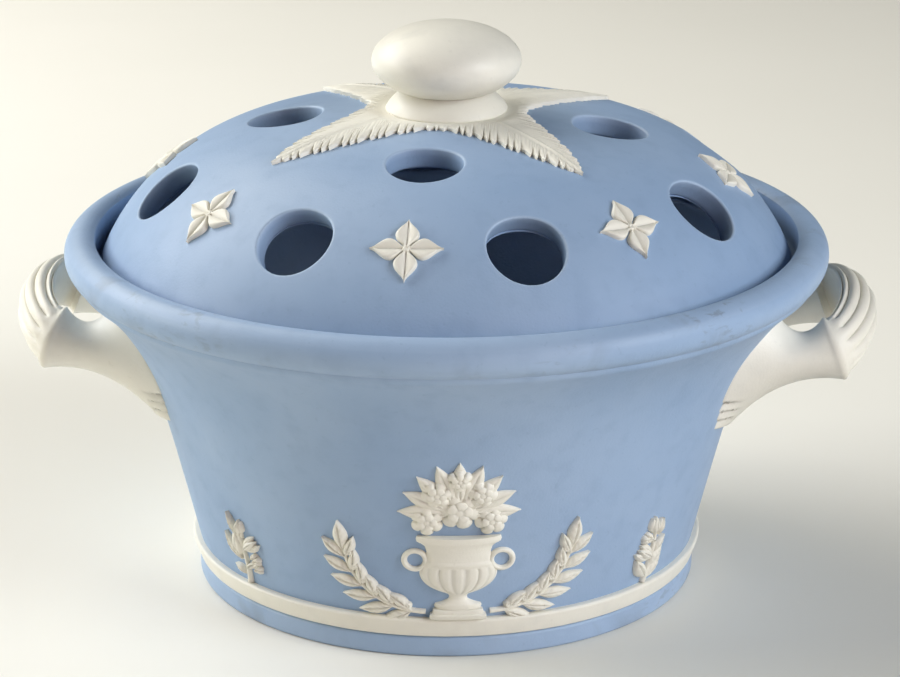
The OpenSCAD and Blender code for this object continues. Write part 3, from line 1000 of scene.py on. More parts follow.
@dataclass(frozen=True)
class Bowl:
    """The thrown blue bowl with its foot ring, rolled rim and ledge for the lid."""

    wall: Wall = field(default_factory=Wall)
    foot_ring_w: float = 6.0
    foot_recess: float = 2.5
    foot_round: float = 0.7
    ring_flat_w: float = 2.4
    ring_slope_w: float = 1.6
    ring_bend: tuple[float, float] = (-0.6, 2.2)
    ring_low: tuple[float, float] = (-0.3, 0.9)
    ring_edge: tuple[float, float] = (-0.1, 0.4)
    ring_run: tuple[float, float] = (0.5, 0.0)
    wall_t: float = 4.5
    wall_start: float = 0.1
    floor_t: float = 5.0
    floor_fillet: float = 8.0
    fillet_start: float = -8.0
    roll_r: float = 3.6
    rim_w: float = 5.8
    rim_neck: float = 0.8
    rim_crease: float = 0.12
    roll_start: float = -65.0
    roll_side_end: float = 30.0
    roll_top_start: float = 36.0
    seat_lean: float = 0.1
    seat_rise: float = 2.2
    ledge_depth: float = 5.7
    ledge_w: float = 6.0
    soft: float = 0.8
    axis_r: float = 0.6
    flat_r: float = 20.0
    segments: int = 224

    @cached_property
    def rim_c(self) -> tuple[float, float]:
        """Radius and height of the rolled rim's centre."""
        start = math.radians(self.roll_start)
        radius = self.wall.mouth_r + self.rim_crease - self.roll_r * math.cos(start)
        return radius, self.wall.top_z + self.rim_neck - self.roll_r * math.sin(start)

    @property
    def seat_r(self) -> float:
        """Radius of the rim's inner side."""
        return self.rim_c[0] + self.roll_r - self.rim_w

    @property
    def roll_end(self) -> float:
        """Angle at which the roll meets the rim's inner side."""
        return math.degrees(math.acos((self.seat_r - self.rim_c[0]) / self.roll_r))

    @property
    def ledge_z(self) -> float:
        """Height of the ledge for the lid."""
        return self.rim_c[1] + self.roll_r * math.sin(math.radians(self.roll_end)) - self.ledge_depth

    def inner_radius(self, z: Values) -> Values:
        """Takes the radius of the inside, where the wall and the ledge run softly together.

        Args:
            z: Height over the table.

        Returns:
            The radius there.
        """
        by_wall = self.wall.radius(z) - self.wall_t
        by_ledge = self.seat_r - self.ledge_w
        blend = np.clip(0.5 + (by_ledge - by_wall) / (2 * self.soft), 0, 1)
        return by_ledge + (by_wall - by_ledge) * blend - self.soft / 2 * blend * (1 - blend)

    def profile(self) -> tuple[Array, Array, Array]:
        """Draws half of the bowl's section, from the underside round to the floor inside.

        Returns:
            Radius and height of each point, how much of an edge it is, and how rubbed it is.
        """
        wall, soft, foot_round = self.wall, self.soft, self.foot_round
        recess = self.foot_recess
        floor_z = recess + self.floor_t
        ring = np.array([wall.foot_r - self.foot_ring_w, 0])
        ring_start = (ring[0] - self.ring_slope_w, recess)
        under_r = (self.axis_r, self.flat_r, ring[0] - self.ring_flat_w)
        seat_top = (self.seat_r - self.seat_lean, self.rim_c[1] + self.seat_rise)
        ledge_r = self.seat_r - self.ledge_w
        fillet_z = floor_z + self.floor_fillet
        fillet_r = self.inner_radius(fillet_z) - self.floor_fillet
        wall_z = np.linspace(wall.foot_h + self.wall_start, wall.top_z, 72)
        inside_z = np.linspace(self.ledge_z - soft, fillet_z, 40)
        # Each stretch with how much of an edge it is and how rubbed it is
        parts = [
            (np.array([(radius, recess) for radius in under_r]), 0, 0),
            (curve(ring_start, ring + self.ring_bend, ring + self.ring_low, np.linspace(0, 1, 6)), 0, 0),
            (curve(ring + self.ring_edge, ring, ring + self.ring_run, np.linspace(0, 1, 4)), 0.4, 1),
            (arc((wall.foot_r - foot_round, foot_round), foot_round, -90, 0, 6), 0.5, 1),
            (arc((wall.foot_r - foot_round, wall.foot_h - foot_round), foot_round, 0, 90, 6), 0.4, 0.4),
            (np.stack([wall.radius(wall_z), wall_z], axis=-1), 0, 0),
            (arc(self.rim_c, self.roll_r, self.roll_start, self.roll_side_end, 14), 0.1, 0.6),
            (arc(self.rim_c, self.roll_r, self.roll_top_start, self.roll_end, 14), 0.35, 1),
            (np.array([seat_top, (self.seat_r, self.ledge_z + 2 * soft)]), 0, 0),
            (arc((self.seat_r - soft, self.ledge_z + soft), soft, 0, -90, 5), 0, 0),
            (arc((ledge_r + soft, self.ledge_z - soft), soft, 90, 180, 5), 0.4, 0.3),
            (np.stack([self.inner_radius(inside_z), inside_z], axis=-1)[1:], 0, 0),
            (arc((fillet_r, fillet_z), self.floor_fillet, self.fillet_start, -90, 9), 0, 0),
            (np.array([(self.flat_r, floor_z), (self.axis_r, floor_z)]), 0, 0),
        ]
        points = np.concatenate([part for part, _, _ in parts])
        edge = np.concatenate([np.full(len(part), value, float) for part, value, _ in parts])
        rub = np.concatenate([np.full(len(part), value, float) for part, _, value in parts])
        return points, edge, rub

    def build(self) -> None:
        """Casts the bowl."""
        mould = Mould()
        points, edge, rub = self.profile()
        mould.lathe(points, self.segments, wobble=self.wall.wobble, edge=edge, rub=rub)
        mould.cast("bowl", Body.BOWL, Clay.BLUE)


@dataclass(frozen=True)
class BaseBand:
    """The white band round the foot of the wall."""

    wall: Wall
    lift: float = 0.1
    height: float = 3.9
    thick: float = 1.3
    corner: float = 0.55
    rub: float = 0.5
    segments: int = 224

    @property
    def top_z(self) -> float:
        """Height of the band's upper edge."""
        return self.wall.foot_h + self.lift + self.height

    def build(self) -> None:
        """Casts the band."""
        low = self.wall.foot_h + self.lift
        low_r = self.wall.radius(low) + self.thick - self.corner
        top_r = self.wall.radius(self.top_z) + self.thick - self.corner
        lean = math.degrees(math.atan(self.wall.taper))
        outside = np.concatenate([
            arc((low_r, low + self.corner), self.corner, -90, -lean, 5),
            arc((top_r, self.top_z - self.corner), self.corner, -lean, 90, 6),
        ])
        z = np.linspace(self.top_z, low, 4)
        inside = np.stack([self.wall.radius(z) - SINK, z], axis=-1)
        mould = Mould()
        rub = np.concatenate([np.full(len(outside), self.rub), np.zeros(len(inside))])
        mould.lathe(np.concatenate([outside, inside]), self.segments, True, self.wall.wobble, rub=rub)
        mould.cast("base_band", Body.BOWL, Clay.WHITE)


@dataclass(frozen=True)
class Handle:
    """A white loop handle: two plain trumpet arms and a reeded grip that bows between their collars."""

    name: str
    turn: float
    wall: Wall
    root_drop: float = 3.6
    root_h: float = 22.2
    root_half: float = 16.0
    root_t: float = 4.2
    wall_bite: float = 3.0
    root_sink: float = 1.0
    collar_reach: float = 11.8
    collar_drop: float = 7.4
    collar_half: float = 16.5
    collar_hh: float = 6.0
    collar_hw: float = 5.2
    collar_tilt: float = 20.4
    collar_skew: float = 1.0
    ear: float = 0.03
    ear_spread: float = 0.34
    ear_power: float = 5.0
    lips: tuple[tuple[float, float], ...] = ((0.3, 1.02), (0.8, 1.03), (1.4, 1.01), (1.9, 0.96))
    lip_inside: float = 0.45
    arm_dip: float = 7.7
    arm_top_push: float = 0.8
    arm_belly: float = 6.1
    arm_belly_up: float = 2.0
    arm_undercut: float = 7.3
    arm_swell: float = 3.0
    arm_egg: float = 0.45
    root_flare: float = 3.0
    grip_bow: float = 4.8
    grip_rise: float = 1.8
    grip_hh: float = 5.6
    grip_out: float = 4.9
    grip_in: float = 1.4
    grip_end: float = 74.0
    reed_edges: tuple[float, ...] = (0, 0.08, 0.248, 0.416, 0.584, 0.752, 0.92, 1)
    reed_depth: float = 0.16
    reed_power: float = 0.6
    reed_steps: int = 18
    reed_fade: float = 9.0
    ledges: int = 3
    ledge_pitch: float = 2.0
    ledge_depth: float = 1.0
    ledge_power: float = 1.5
    ledge_full_w: float = 1.08
    ledge_w: float = 3.6
    arm_steps: int = 44
    arm_gather: float = 1.3
    grip_steps: int = 48
    crisp: float = 50.0

    @property
    def root_top_z(self) -> float:
        """Height of the top of the roots."""
        return self.wall.top_z - self.root_drop

    @property
    def root_z(self) -> float:
        """Height of the low end of the roots."""
        return self.root_top_z - self.root_h

    @cached_property
    def collar(self) -> Array:
        """Middle of the two collars."""
        z = self.root_top_z - self.collar_drop
        return np.array([self.wall.radius(z) + self.collar_reach, 0, z])

    @cached_property
    def up(self) -> Array:
        """Upward direction in a collar's plane."""
        tilt = math.radians(self.collar_tilt)
        return np.array([-math.sin(tilt), 0, math.cos(tilt)])

    @cached_property
    def ahead(self) -> Array:
        """Direction in which a collar faces."""
        tilt = math.radians(self.collar_tilt)
        return np.array([math.cos(tilt), 0, math.sin(tilt)])

    @cached_property
    def round(self) -> Array:
        """Angles round a section in radians, as a column: over the reeds first, then back inside."""
        edges = [math.pi * edge for edge in self.reed_edges] + [2 * math.pi]
        steps = [self.reed_steps] * (len(edges) - 2) + [3 * self.reed_steps]
        spans = [np.linspace(*span, endpoint=False) for span in zip(edges, edges[1:], steps)]
        return np.concatenate(spans)[:, None]

    @cached_property
    def reed_fall(self) -> Array:
        """How far each point of a section lies down between two reeds, from 0 to 1, as a column."""
        reeds = len(self.reed_edges) - 1
        share = np.tile(np.linspace(0, 1, self.reed_steps, endpoint=False), reeds)
        fall = 1 - np.sin(math.pi * share) ** self.reed_power
        return np.concatenate([fall, np.zeros(len(self.round) - len(fall))])[:, None]

    @cached_property
    def ear_rise(self) -> Array:
        """How far each point of a collar is drawn up into its pointed ear, as a column."""
        aside = np.minimum(self.round, 2 * math.pi - self.round)
        return 1 + self.ear * bell(self.ear_spread, aside)

    @cached_property
    def arm_curves(self) -> tuple[tuple[Array, ...], tuple[Array, ...]]:
        """Points that draw an arm's upper and lower curve, from the root to the collar."""
        root_r = self.wall.radius(self.root_z)
        top_r = self.wall.radius(self.root_top_z)
        root_top = np.array([top_r - self.wall_bite, 0, self.root_top_z])
        root_low = np.array([root_r - self.wall_bite, 0, self.root_z - self.arm_undercut])
        collar_top = self.collar + self.collar_hh * self.up
        collar_low = self.collar - self.collar_hh * self.up
        dip_r = (root_top[0] + collar_top[0]) / 2 + self.arm_top_push
        dip = np.array([dip_r, 0, self.root_top_z - self.arm_dip])
        belly = np.array([root_r + self.arm_belly, 0, collar_low[2] + self.arm_belly_up])
        return (root_top, dip, collar_top), (root_low, belly, collar_low)

    def outwards(self, skew: float, side: int) -> Array:
        """Direction to the outer side of an arm, turned by a share of the collar's skew."""
        angle = math.radians(self.collar_skew) * skew
        return np.array([math.sin(angle), side * math.cos(angle), 0])

    def arm(self, share: float, side: int) -> Array:
        """Draws a section of an arm.

        Args:
            share: Share of the way from the root to the collar.
            side: -1 for the front arm, 1 for the back one.

        Returns:
            The section's points.
        """
        upper, lower = self.arm_curves
        top = curve(*upper, share)
        low = curve(*lower, share)
        middle = (top + low) / 2
        middle[1] = side * (self.root_half + (self.collar_half - self.root_half) * share)
        half_t = self.root_t + (self.collar_hw - self.root_t) * share**self.arm_swell
        half_t = half_t + self.root_flare * (1 - share) * (np.sin(self.round) > 0)
        aside = np.sin(self.round) * self.outwards(share**2, side)
        aside = aside * (1 + self.arm_egg * (1 - share) * np.cos(self.round))
        ear = 1 + (self.ear_rise - 1) * share**self.ear_power
        points = middle + ear * np.cos(self.round) * (top - low) / 2 + half_t * aside
        points[:, 2] = np.maximum(points[:, 2], self.root_z)
        radius = self.wall.radius(points[:, 2])
        points[:, 0] -= (1 - share) * (radius - np.sqrt(radius**2 - points[:, 1] ** 2))
        if share == 0:
            sunk = np.sqrt((radius - self.root_sink) ** 2 - points[:, 1] ** 2)
            points[:, 0] = np.minimum(points[:, 0], sunk)
        return points - aside * self.steps(points)

    def steps(self, points: Array) -> Array:
        """Cuts the short level ledges into the low end of a root, close to the wall.

        Args:
            points: Points of a section.

        Returns:
            How far each point falls back.
        """
        rise = (points[:, 2:] - self.root_z) / self.ledge_pitch
        out = np.hypot(points[:, :1], points[:, 1:2]) - self.wall.radius(points[:, 2:])
        zone = (1 - ease(self.ledge_full_w, self.ledge_w, out)) * (rise < self.ledges)
        return self.ledge_depth * zone * (rise % 1.0) ** self.ledge_power

    def lip(self, reach: float, size: float, side: int) -> Array:
        """Draws a ring of a collar's rounded lip.

        Args:
            reach: Distance in front of the collar's plane, on the outer side.
            size: Size of the ring as a share of the collar's.
            side: -1 for the front collar, 1 for the back one.

        Returns:
            The ring's points.
        """
        middle = self.collar + np.array([0, side * self.collar_half, 0])
        height = self.ear_rise * np.cos(self.round) * self.collar_hh
        aside = np.sin(self.round) * self.collar_hw * self.outwards(1, side)
        ahead = reach * (self.lip_inside + (1 - self.lip_inside) * np.sin(self.round)) * self.ahead
        return middle + size * (height * self.up + aside) + ahead

    def grip(self, turn: float) -> Array:
        """Draws a section of the reeded grip.

        Args:
            turn: Angle round the bow, negative at the front collar and positive at the back one.

        Returns:
            The section's points.
        """
        angle = math.radians(turn)
        out = math.cos(angle) * self.ahead + np.array([0, math.sin(angle), 0])
        bow = np.array([0, self.collar_half * math.sin(angle), self.grip_rise * math.cos(angle)])
        middle = self.collar + bow + self.grip_bow * math.cos(angle) * self.ahead
        depth = np.where(np.sin(self.round) > 0, self.grip_out, self.grip_in)
        spoke = np.cos(self.round) * self.grip_hh * self.up + np.sin(self.round) * depth * out
        return middle + (1 - self.reed_depth * self.reeding(turn) * self.reed_fall) * spoke

    def reeding(self, turn: float) -> float:
        """How deep the reeds are cut at an angle round the bow, from 0 to 1."""
        return 1 - ease(self.grip_end - self.reed_fade, self.grip_end, abs(turn))

    def arm_and_collar(self, side: int) -> list[Array]:
        """Draws the sections of the front arm and collar, -1, or of the back ones, 1."""
        shares = np.linspace(0, 1, self.arm_steps) ** self.arm_gather
        return [self.arm(share, side) for share in shares] + [self.lip(*lip, side) for lip in self.lips]

    def build(self) -> None:
        """Casts the handle."""
        front, back = self.arm_and_collar(-1), self.arm_and_collar(1)
        turns = np.linspace(-self.grip_end, self.grip_end, self.grip_steps)
        rings = np.stack(front + [self.grip(turn) for turn in turns] + back[::-1])
        # Painted shade in the grooves between the reeds and under the ledges of the roots
        groove = np.zeros(rings.shape[:2])
        for order, turn in enumerate(turns, len(front)):
            groove[order] = self.reeding(turn) * self.reed_fall[:, 0] ** 2
        groove += np.stack([self.steps(ring)[:, 0] for ring in rings]) / self.ledge_depth
        angle = math.radians(self.turn)
        spin = np.array([
            [math.cos(angle), math.sin(angle), 0],
            [-math.sin(angle), math.cos(angle), 0],
            [0, 0, 1],
        ])
        mould = Mould()
        mould.loft(rings @ spin, hollow=groove)
        mould.cast(self.name, Body.BOWL, Clay.WHITE, self.crisp)


@dataclass(frozen=True)
class UrnGroup:
    """The white relief on one side of the wall: an urn of blossoms between two laurel branches."""

    side: str
    angle: float
    wall: Wall
    base_z: float
    plinth_w: float = 10.0
    plinth_h: float = 2.0
    urn_h: float = 15.6
    urn_r: float = 7.0
    urn_t: float = 2.2
    urn_foot: tuple[tuple[float, float], ...] = (
        (0, 4.1), (0.035, 4.3), (0.07, 4.1), (0.085, 3.2), (0.13, 1.75), (0.17, 1.6), (0.2, 1.9),
    )
    urn_neck: tuple[tuple[float, float], ...] = (
        (0.7, 5.95), (0.79, 5.75), (0.86, 6.1), (0.9, 6.9), (0.917, 7.5), (0.96, 7.7), (1, 7.5),
    )
    belly_arc: tuple[float, float] = (-66.0, 30.0)
    belly_middle: float = 0.5
    belly_half: float = 0.3
    gadroons: int = 9
    gadroon_depth: float = 0.16
    gadroon_shade: float = 0.8
    frieze_t: float = 0.18
    plinth_steps: tuple[tuple[float, float, float], ...] = (
        (0, 0.98, 0.85), (0.1, 1, 0.95), (0.45, 1, 0.95), (0.5, 0.97, 0.9),
        (0.55, 0.9, 0.75), (0.9, 0.9, 0.75), (1, 0.88, 0.7),
    )
    plinth_gap: float = 0.02
    plinth_fall: float = 0.25
    ear_r: float = 2.5
    ear_w: float = 1.1
    ear_t: float = 0.9
    ear_out: float = 0.8
    bouquet_t: float = 2.2
    blossom_sink: float = 0.5
    blossom_step: float = 0.08
    blossom_lift: float = 0.2
    heart_size: float = 0.62
    heart_t: float = 0.55
    heart_eye: float = 0.25
    heart_sink: float = 0.9
    fan_rise: float = 4.5
    fan_leaf: float = 11.0
    fan_leaf_w: float = 3.2
    fan_leaf_t: float = 1.1
    fan_side: int = 4
    fan_step: float = 22.0
    blossoms: tuple[tuple[float, float, float], ...] = (
        (0, 11.7, 2.4), (-4, 8.7, 2.9), (4, 8.7, 2.9), (-5.7, 3, 3), (5.7, 3, 3), (0, 5.1, 3.8),
    )
    branch_r: float = 14.5
    branch_pairs: int = 6
    branch_leaf: float = 6.4
    branch_leaf_w: float = 2.6
    branch_sweep: float = 80.0
    branch_splay: float = 40.0
    branch_start: float = 0.6
    branch_tail: float = 2.0
    branch_t: float = 1.4
    branch_shrink: float = 0.03
    branch_curl: float = 14.0
    inner_size: float = 0.9
    stem_w: float = 1.1
    stem_t: float = 1.0
    berry_r: float = 0.9
    berry_t: float = 1.3
    berry_ahead: float = 4.0
    gap: float = 0.2

    @property
    def urn_z(self) -> float:
        """Height of the urn's foot."""
        return self.base_z + self.plinth_h

    @property
    def lip_z(self) -> float:
        """Height of the urn's lip."""
        return self.urn_z + self.urn_h

    def relief(self) -> Relief:
        """Starts a mould on this side's ground."""
        return Relief(self.wall.ground(self.angle))

    def urn_half_width(self) -> tuple[Array, Array]:
        """Draws the urn's outline.

        Returns:
            Heights as shares of the urn's height, and half the width at each.
        """
        turn = np.radians(np.linspace(*self.belly_arc, 24))
        belly_share = self.belly_middle + self.belly_half * np.sin(turn)
        belly = np.stack([belly_share, self.urn_r * np.cos(turn)], axis=-1)
        outline = np.concatenate([self.urn_foot, belly, self.urn_neck])
        share = np.linspace(0, 1, 90)
        return share, np.interp(share, outline[:, 0], outline[:, 1])

    def build_urn(self) -> None:
        """Casts the urn with its plinth and ears."""
        relief = self.relief()
        share, half = self.urn_half_width()
        spine = np.stack([0 * share, self.urn_z + self.urn_h * share], axis=-1)
        plan, side = relief.spread(spine, 0 * share, half, 61)
        depth = self.urn_t * np.sqrt(half / half.max())[:, None]
        swell = rounded(side[None, :], 0.985)
        lobes = np.abs(np.sin(self.gadroons * np.arccos(side)[None, :]))
        seam = (1 - lobes) ** 2 * window((0.2, 0.24), (0.56, 0.6), share)[:, None]
        frieze = window((0.6, 0.62), (0.65, 0.67), share)[:, None]
        height = depth * swell * (1 - self.gadroon_depth * seam) + self.frieze_t * frieze * swell
        relief.slab(plan, height, self.gadroon_shade * seam)
        self.build_plinth(relief)
        for out in (-1, 1):
            self.build_ear(relief, out)
        relief.cast(f"{self.side}_urn", Body.BOWL, Clay.WHITE)

    def build_plinth(self, relief: Relief) -> None:
        """Models the stepped plinth under the urn.

        Args:
            relief: Relief that takes it.
        """
        share, width, height = np.array(self.plinth_steps).T
        spine = np.stack([0 * share, self.base_z + (self.plinth_h - self.plinth_gap) * share], axis=-1)
        plan, side = relief.spread(spine, 0 * share, self.plinth_w / 2 * width, 25)
        fall = 1 - self.plinth_fall * side[None, :] ** 8
        relief.slab(plan, self.urn_t * height[:, None] * fall)

    def build_ear(self, relief: Relief, out: int) -> None:
        """Models one ring-shaped ear of the urn.

        Args:
            relief: Relief that takes it.
            out: -1 for the left ear and 1 for the right one.
        """
        angle = np.linspace(0, 2 * math.pi, 36, endpoint=False)
        middle = np.array([out * (self.urn_r + self.ear_out), self.urn_z + self.urn_h / 2 + self.ear_r])
        radius = self.ear_r - self.ear_w / 2
        spine = middle + radius * np.stack([np.cos(angle), np.sin(angle)], axis=-1)
        plan, side = relief.spread(spine, angle, np.full(len(angle), self.ear_w / 2), 9)
        relief.slab(plan, np.broadcast_to(self.ear_t * rounded(side), plan.shape[:2]), closed=True)

    def build_bouquet(self) -> None:
        """Casts the blossoms over the lip and the fan of leaves behind them."""
        relief = self.relief()
        low = self.lip_z + self.gap
        for step in range(-self.fan_side, self.fan_side + 1):
            relief.leaf(Leaf(
                0, low + self.fan_rise, step * self.fan_step, self.fan_leaf, self.fan_leaf_w, self.fan_leaf_t,
                widest=0.6, veins=6,
            ))
        heart_z = self.bouquet_t - self.heart_sink
        for order, (x, y, radius) in enumerate(self.blossoms):
            thick = self.bouquet_t - (self.blossom_sink + self.blossom_step * order)
            heart_r = self.heart_size * radius
            relief.rosette(x, low + y, radius, thick, 6, 20 * order, 0.0, self.blossom_lift)
            relief.rosette(x, low + y, heart_r, self.heart_t, 5, 31 * order, self.heart_eye, heart_z)
        relief.cast(f"{self.side}_bouquet", Body.BOWL, Clay.WHITE)

    def laurel_leaf(self, place: tuple[float, float], lean: float, size: float = 1, bend: float = 0) -> Leaf:
        """Makes a leaf of a branch, its size as a share of the longest one's."""
        length, width = size * self.branch_leaf, size * self.branch_leaf_w
        return Leaf(*place, lean, length, width, self.branch_t, bend=bend, widest=0.48, veins=5)

    def build_branch(self, name: str, side: int) -> None:
        """Casts one laurel branch.

        Args:
            name: Name of its solid.
            side: -1 for the left branch and 1 for the right one.
        """
        relief = self.relief()
        middle_x = self.plinth_w / 2 + self.gap + self.stem_w
        middle_z = self.base_z + self.stem_w + self.branch_r

        def on_arc(radius: float, angle: float) -> tuple[float, float]:
            """Place at a radius and angle about the branch's centre."""
            turn = math.radians(angle)
            return side * (middle_x + radius * math.cos(turn)), middle_z + radius * math.sin(turn)

        end = self.branch_sweep - 90
        stem = [on_arc(self.branch_r, angle) for angle in np.linspace(-90 - self.branch_tail, end, 20)]
        relief.stem(stem, self.stem_w, self.stem_t)
        for pair in range(self.branch_pairs):
            angle = -90 + self.branch_sweep * (pair + self.branch_start) / self.branch_pairs
            place = on_arc(self.branch_r, angle)
            for splay, size in ((-1, 1), (1, self.inner_size)):
                lean = side * (angle + splay * self.branch_splay)
                bend = -side * splay * self.branch_curl
                relief.leaf(self.laurel_leaf(place, lean, size - self.branch_shrink * pair, bend))
            berry = on_arc(self.branch_r - (self.stem_w + self.berry_r) / 2, angle + self.berry_ahead)
            relief.rosette(*berry, self.berry_r, self.berry_t)
        relief.leaf(self.laurel_leaf(on_arc(self.branch_r, end), side * end))
        relief.cast(name, Body.BOWL, Clay.WHITE)

    def build(self) -> None:
        """Casts the whole group."""
        self.build_urn()
        self.build_bouquet()
        self.build_branch(f"{self.side}_branch_left", -1)
        self.build_branch(f"{self.side}_branch_right", 1)


# How far the outer petals of a bud and of a cup-shaped flower lean out
OPEN_ANGLES = {Bloom.BUD: 14.0, Bloom.CUP: 24.0}


@dataclass(frozen=True)
class Growth:
    """A leaf, bud or cup-shaped flower of a spray."""

    form: Bloom
    x: float
    y: float
    lean: float
    length: float
    width: float
    bend: float = 0.0


@dataclass(frozen=True)
class Sprig:
    """A small white spray of flowers on the wall."""

    name: str
    angle: float
    wall: Wall
    base_z: float
    stem: tuple[tuple[float, float], ...]
    growths: tuple[Growth, ...]
    rings: tuple[tuple[float, float, float], ...]
    stem_w: float = 1.1
    stem_t: float = 0.9
    thick: float = 1.4
    ring_petals: int = 5
    ring_eye: float = 0.3

    def build(self) -> None:
        """Casts the spray."""
        relief = Relief(self.wall.ground(self.angle))
        relief.stem([(x, self.base_z + y) for x, y in self.stem], self.stem_w, self.stem_t)
        for growth in self.growths:
            leaf = Leaf(
                growth.x, self.base_z + growth.y, growth.lean, growth.length, growth.width, self.thick,
                bend=growth.bend, veins=5,
            )
            if growth.form is Bloom.LEAF:
                relief.leaf(leaf)
            else:
                relief.bud(leaf, OPEN_ANGLES[growth.form])
        for x, y, radius in self.rings:
            relief.rosette(x, self.base_z + y, radius, self.thick, self.ring_petals, eye=self.ring_eye)
        relief.cast(self.name, Body.BOWL, Clay.WHITE)


# Angle from the middle of a side of the vase to the sprays beside it
SPRAY_ANGLE = 48.5
LEFT_SPRAY = {
    "stem": ((0, 0), (0.5, 3.7), (0.2, 7), (0.6, 11)),
    "growths": (
        Growth(Bloom.LEAF, -0.4, 9.6, 22, 5.2, 1.4),
        Growth(Bloom.LEAF, -0.6, 4.8, 55, 6.2, 2.2, -36),
        Growth(Bloom.LEAF, 0.2, 1.8, 67, 3.6, 1.5),
        Growth(Bloom.LEAF, 0.3, 3, -55, 3.4, 1.2),
        Growth(Bloom.CUP, 0.8, 7.2, -53, 5.2, 2.8),
        Growth(Bloom.BUD, 0.3, 10.4, -14, 3.4, 2.7),
        Growth(Bloom.BUD, -0.7, 5.8, 0, 5.4, 4.6),
    ),
    "rings": ((3.3, 5.7, 1.35), (3.4, 3.9, 1.25)),
}
RIGHT_SPRAY = {
    "stem": ((0, 0), (0.6, 3), (0.9, 7), (0.6, 11.4)),
    "growths": (
        Growth(Bloom.LEAF, 0.6, 8.6, 60, 2.6, 1.1),
        Growth(Bloom.LEAF, 0.9, 6.2, -36, 3.9, 1.5),
        Growth(Bloom.LEAF, 0.6, 3.4, -33, 4.4, 3),
        Growth(Bloom.LEAF, 0, 1.2, 46, 5.8, 2.6, -12),
        Growth(Bloom.LEAF, 0.2, 0.8, -40, 5.4, 2.4, 12),
        Growth(Bloom.BUD, -0.3, 10.6, 12, 3.9, 3),
        Growth(Bloom.BUD, 0.8, 10, -16, 3.6, 1.7),
        Growth(Bloom.CUP, 0.5, 5.2, 58, 5.4, 3.4),
    ),
    "rings": ((-1.8, 9.8, 1.35),),
}


# Pieces of the lid


@dataclass(frozen=True)
class HoleRing:
    """A ring of round scent holes."""

    radius: float
    count: int
    phase: float
    columns: int


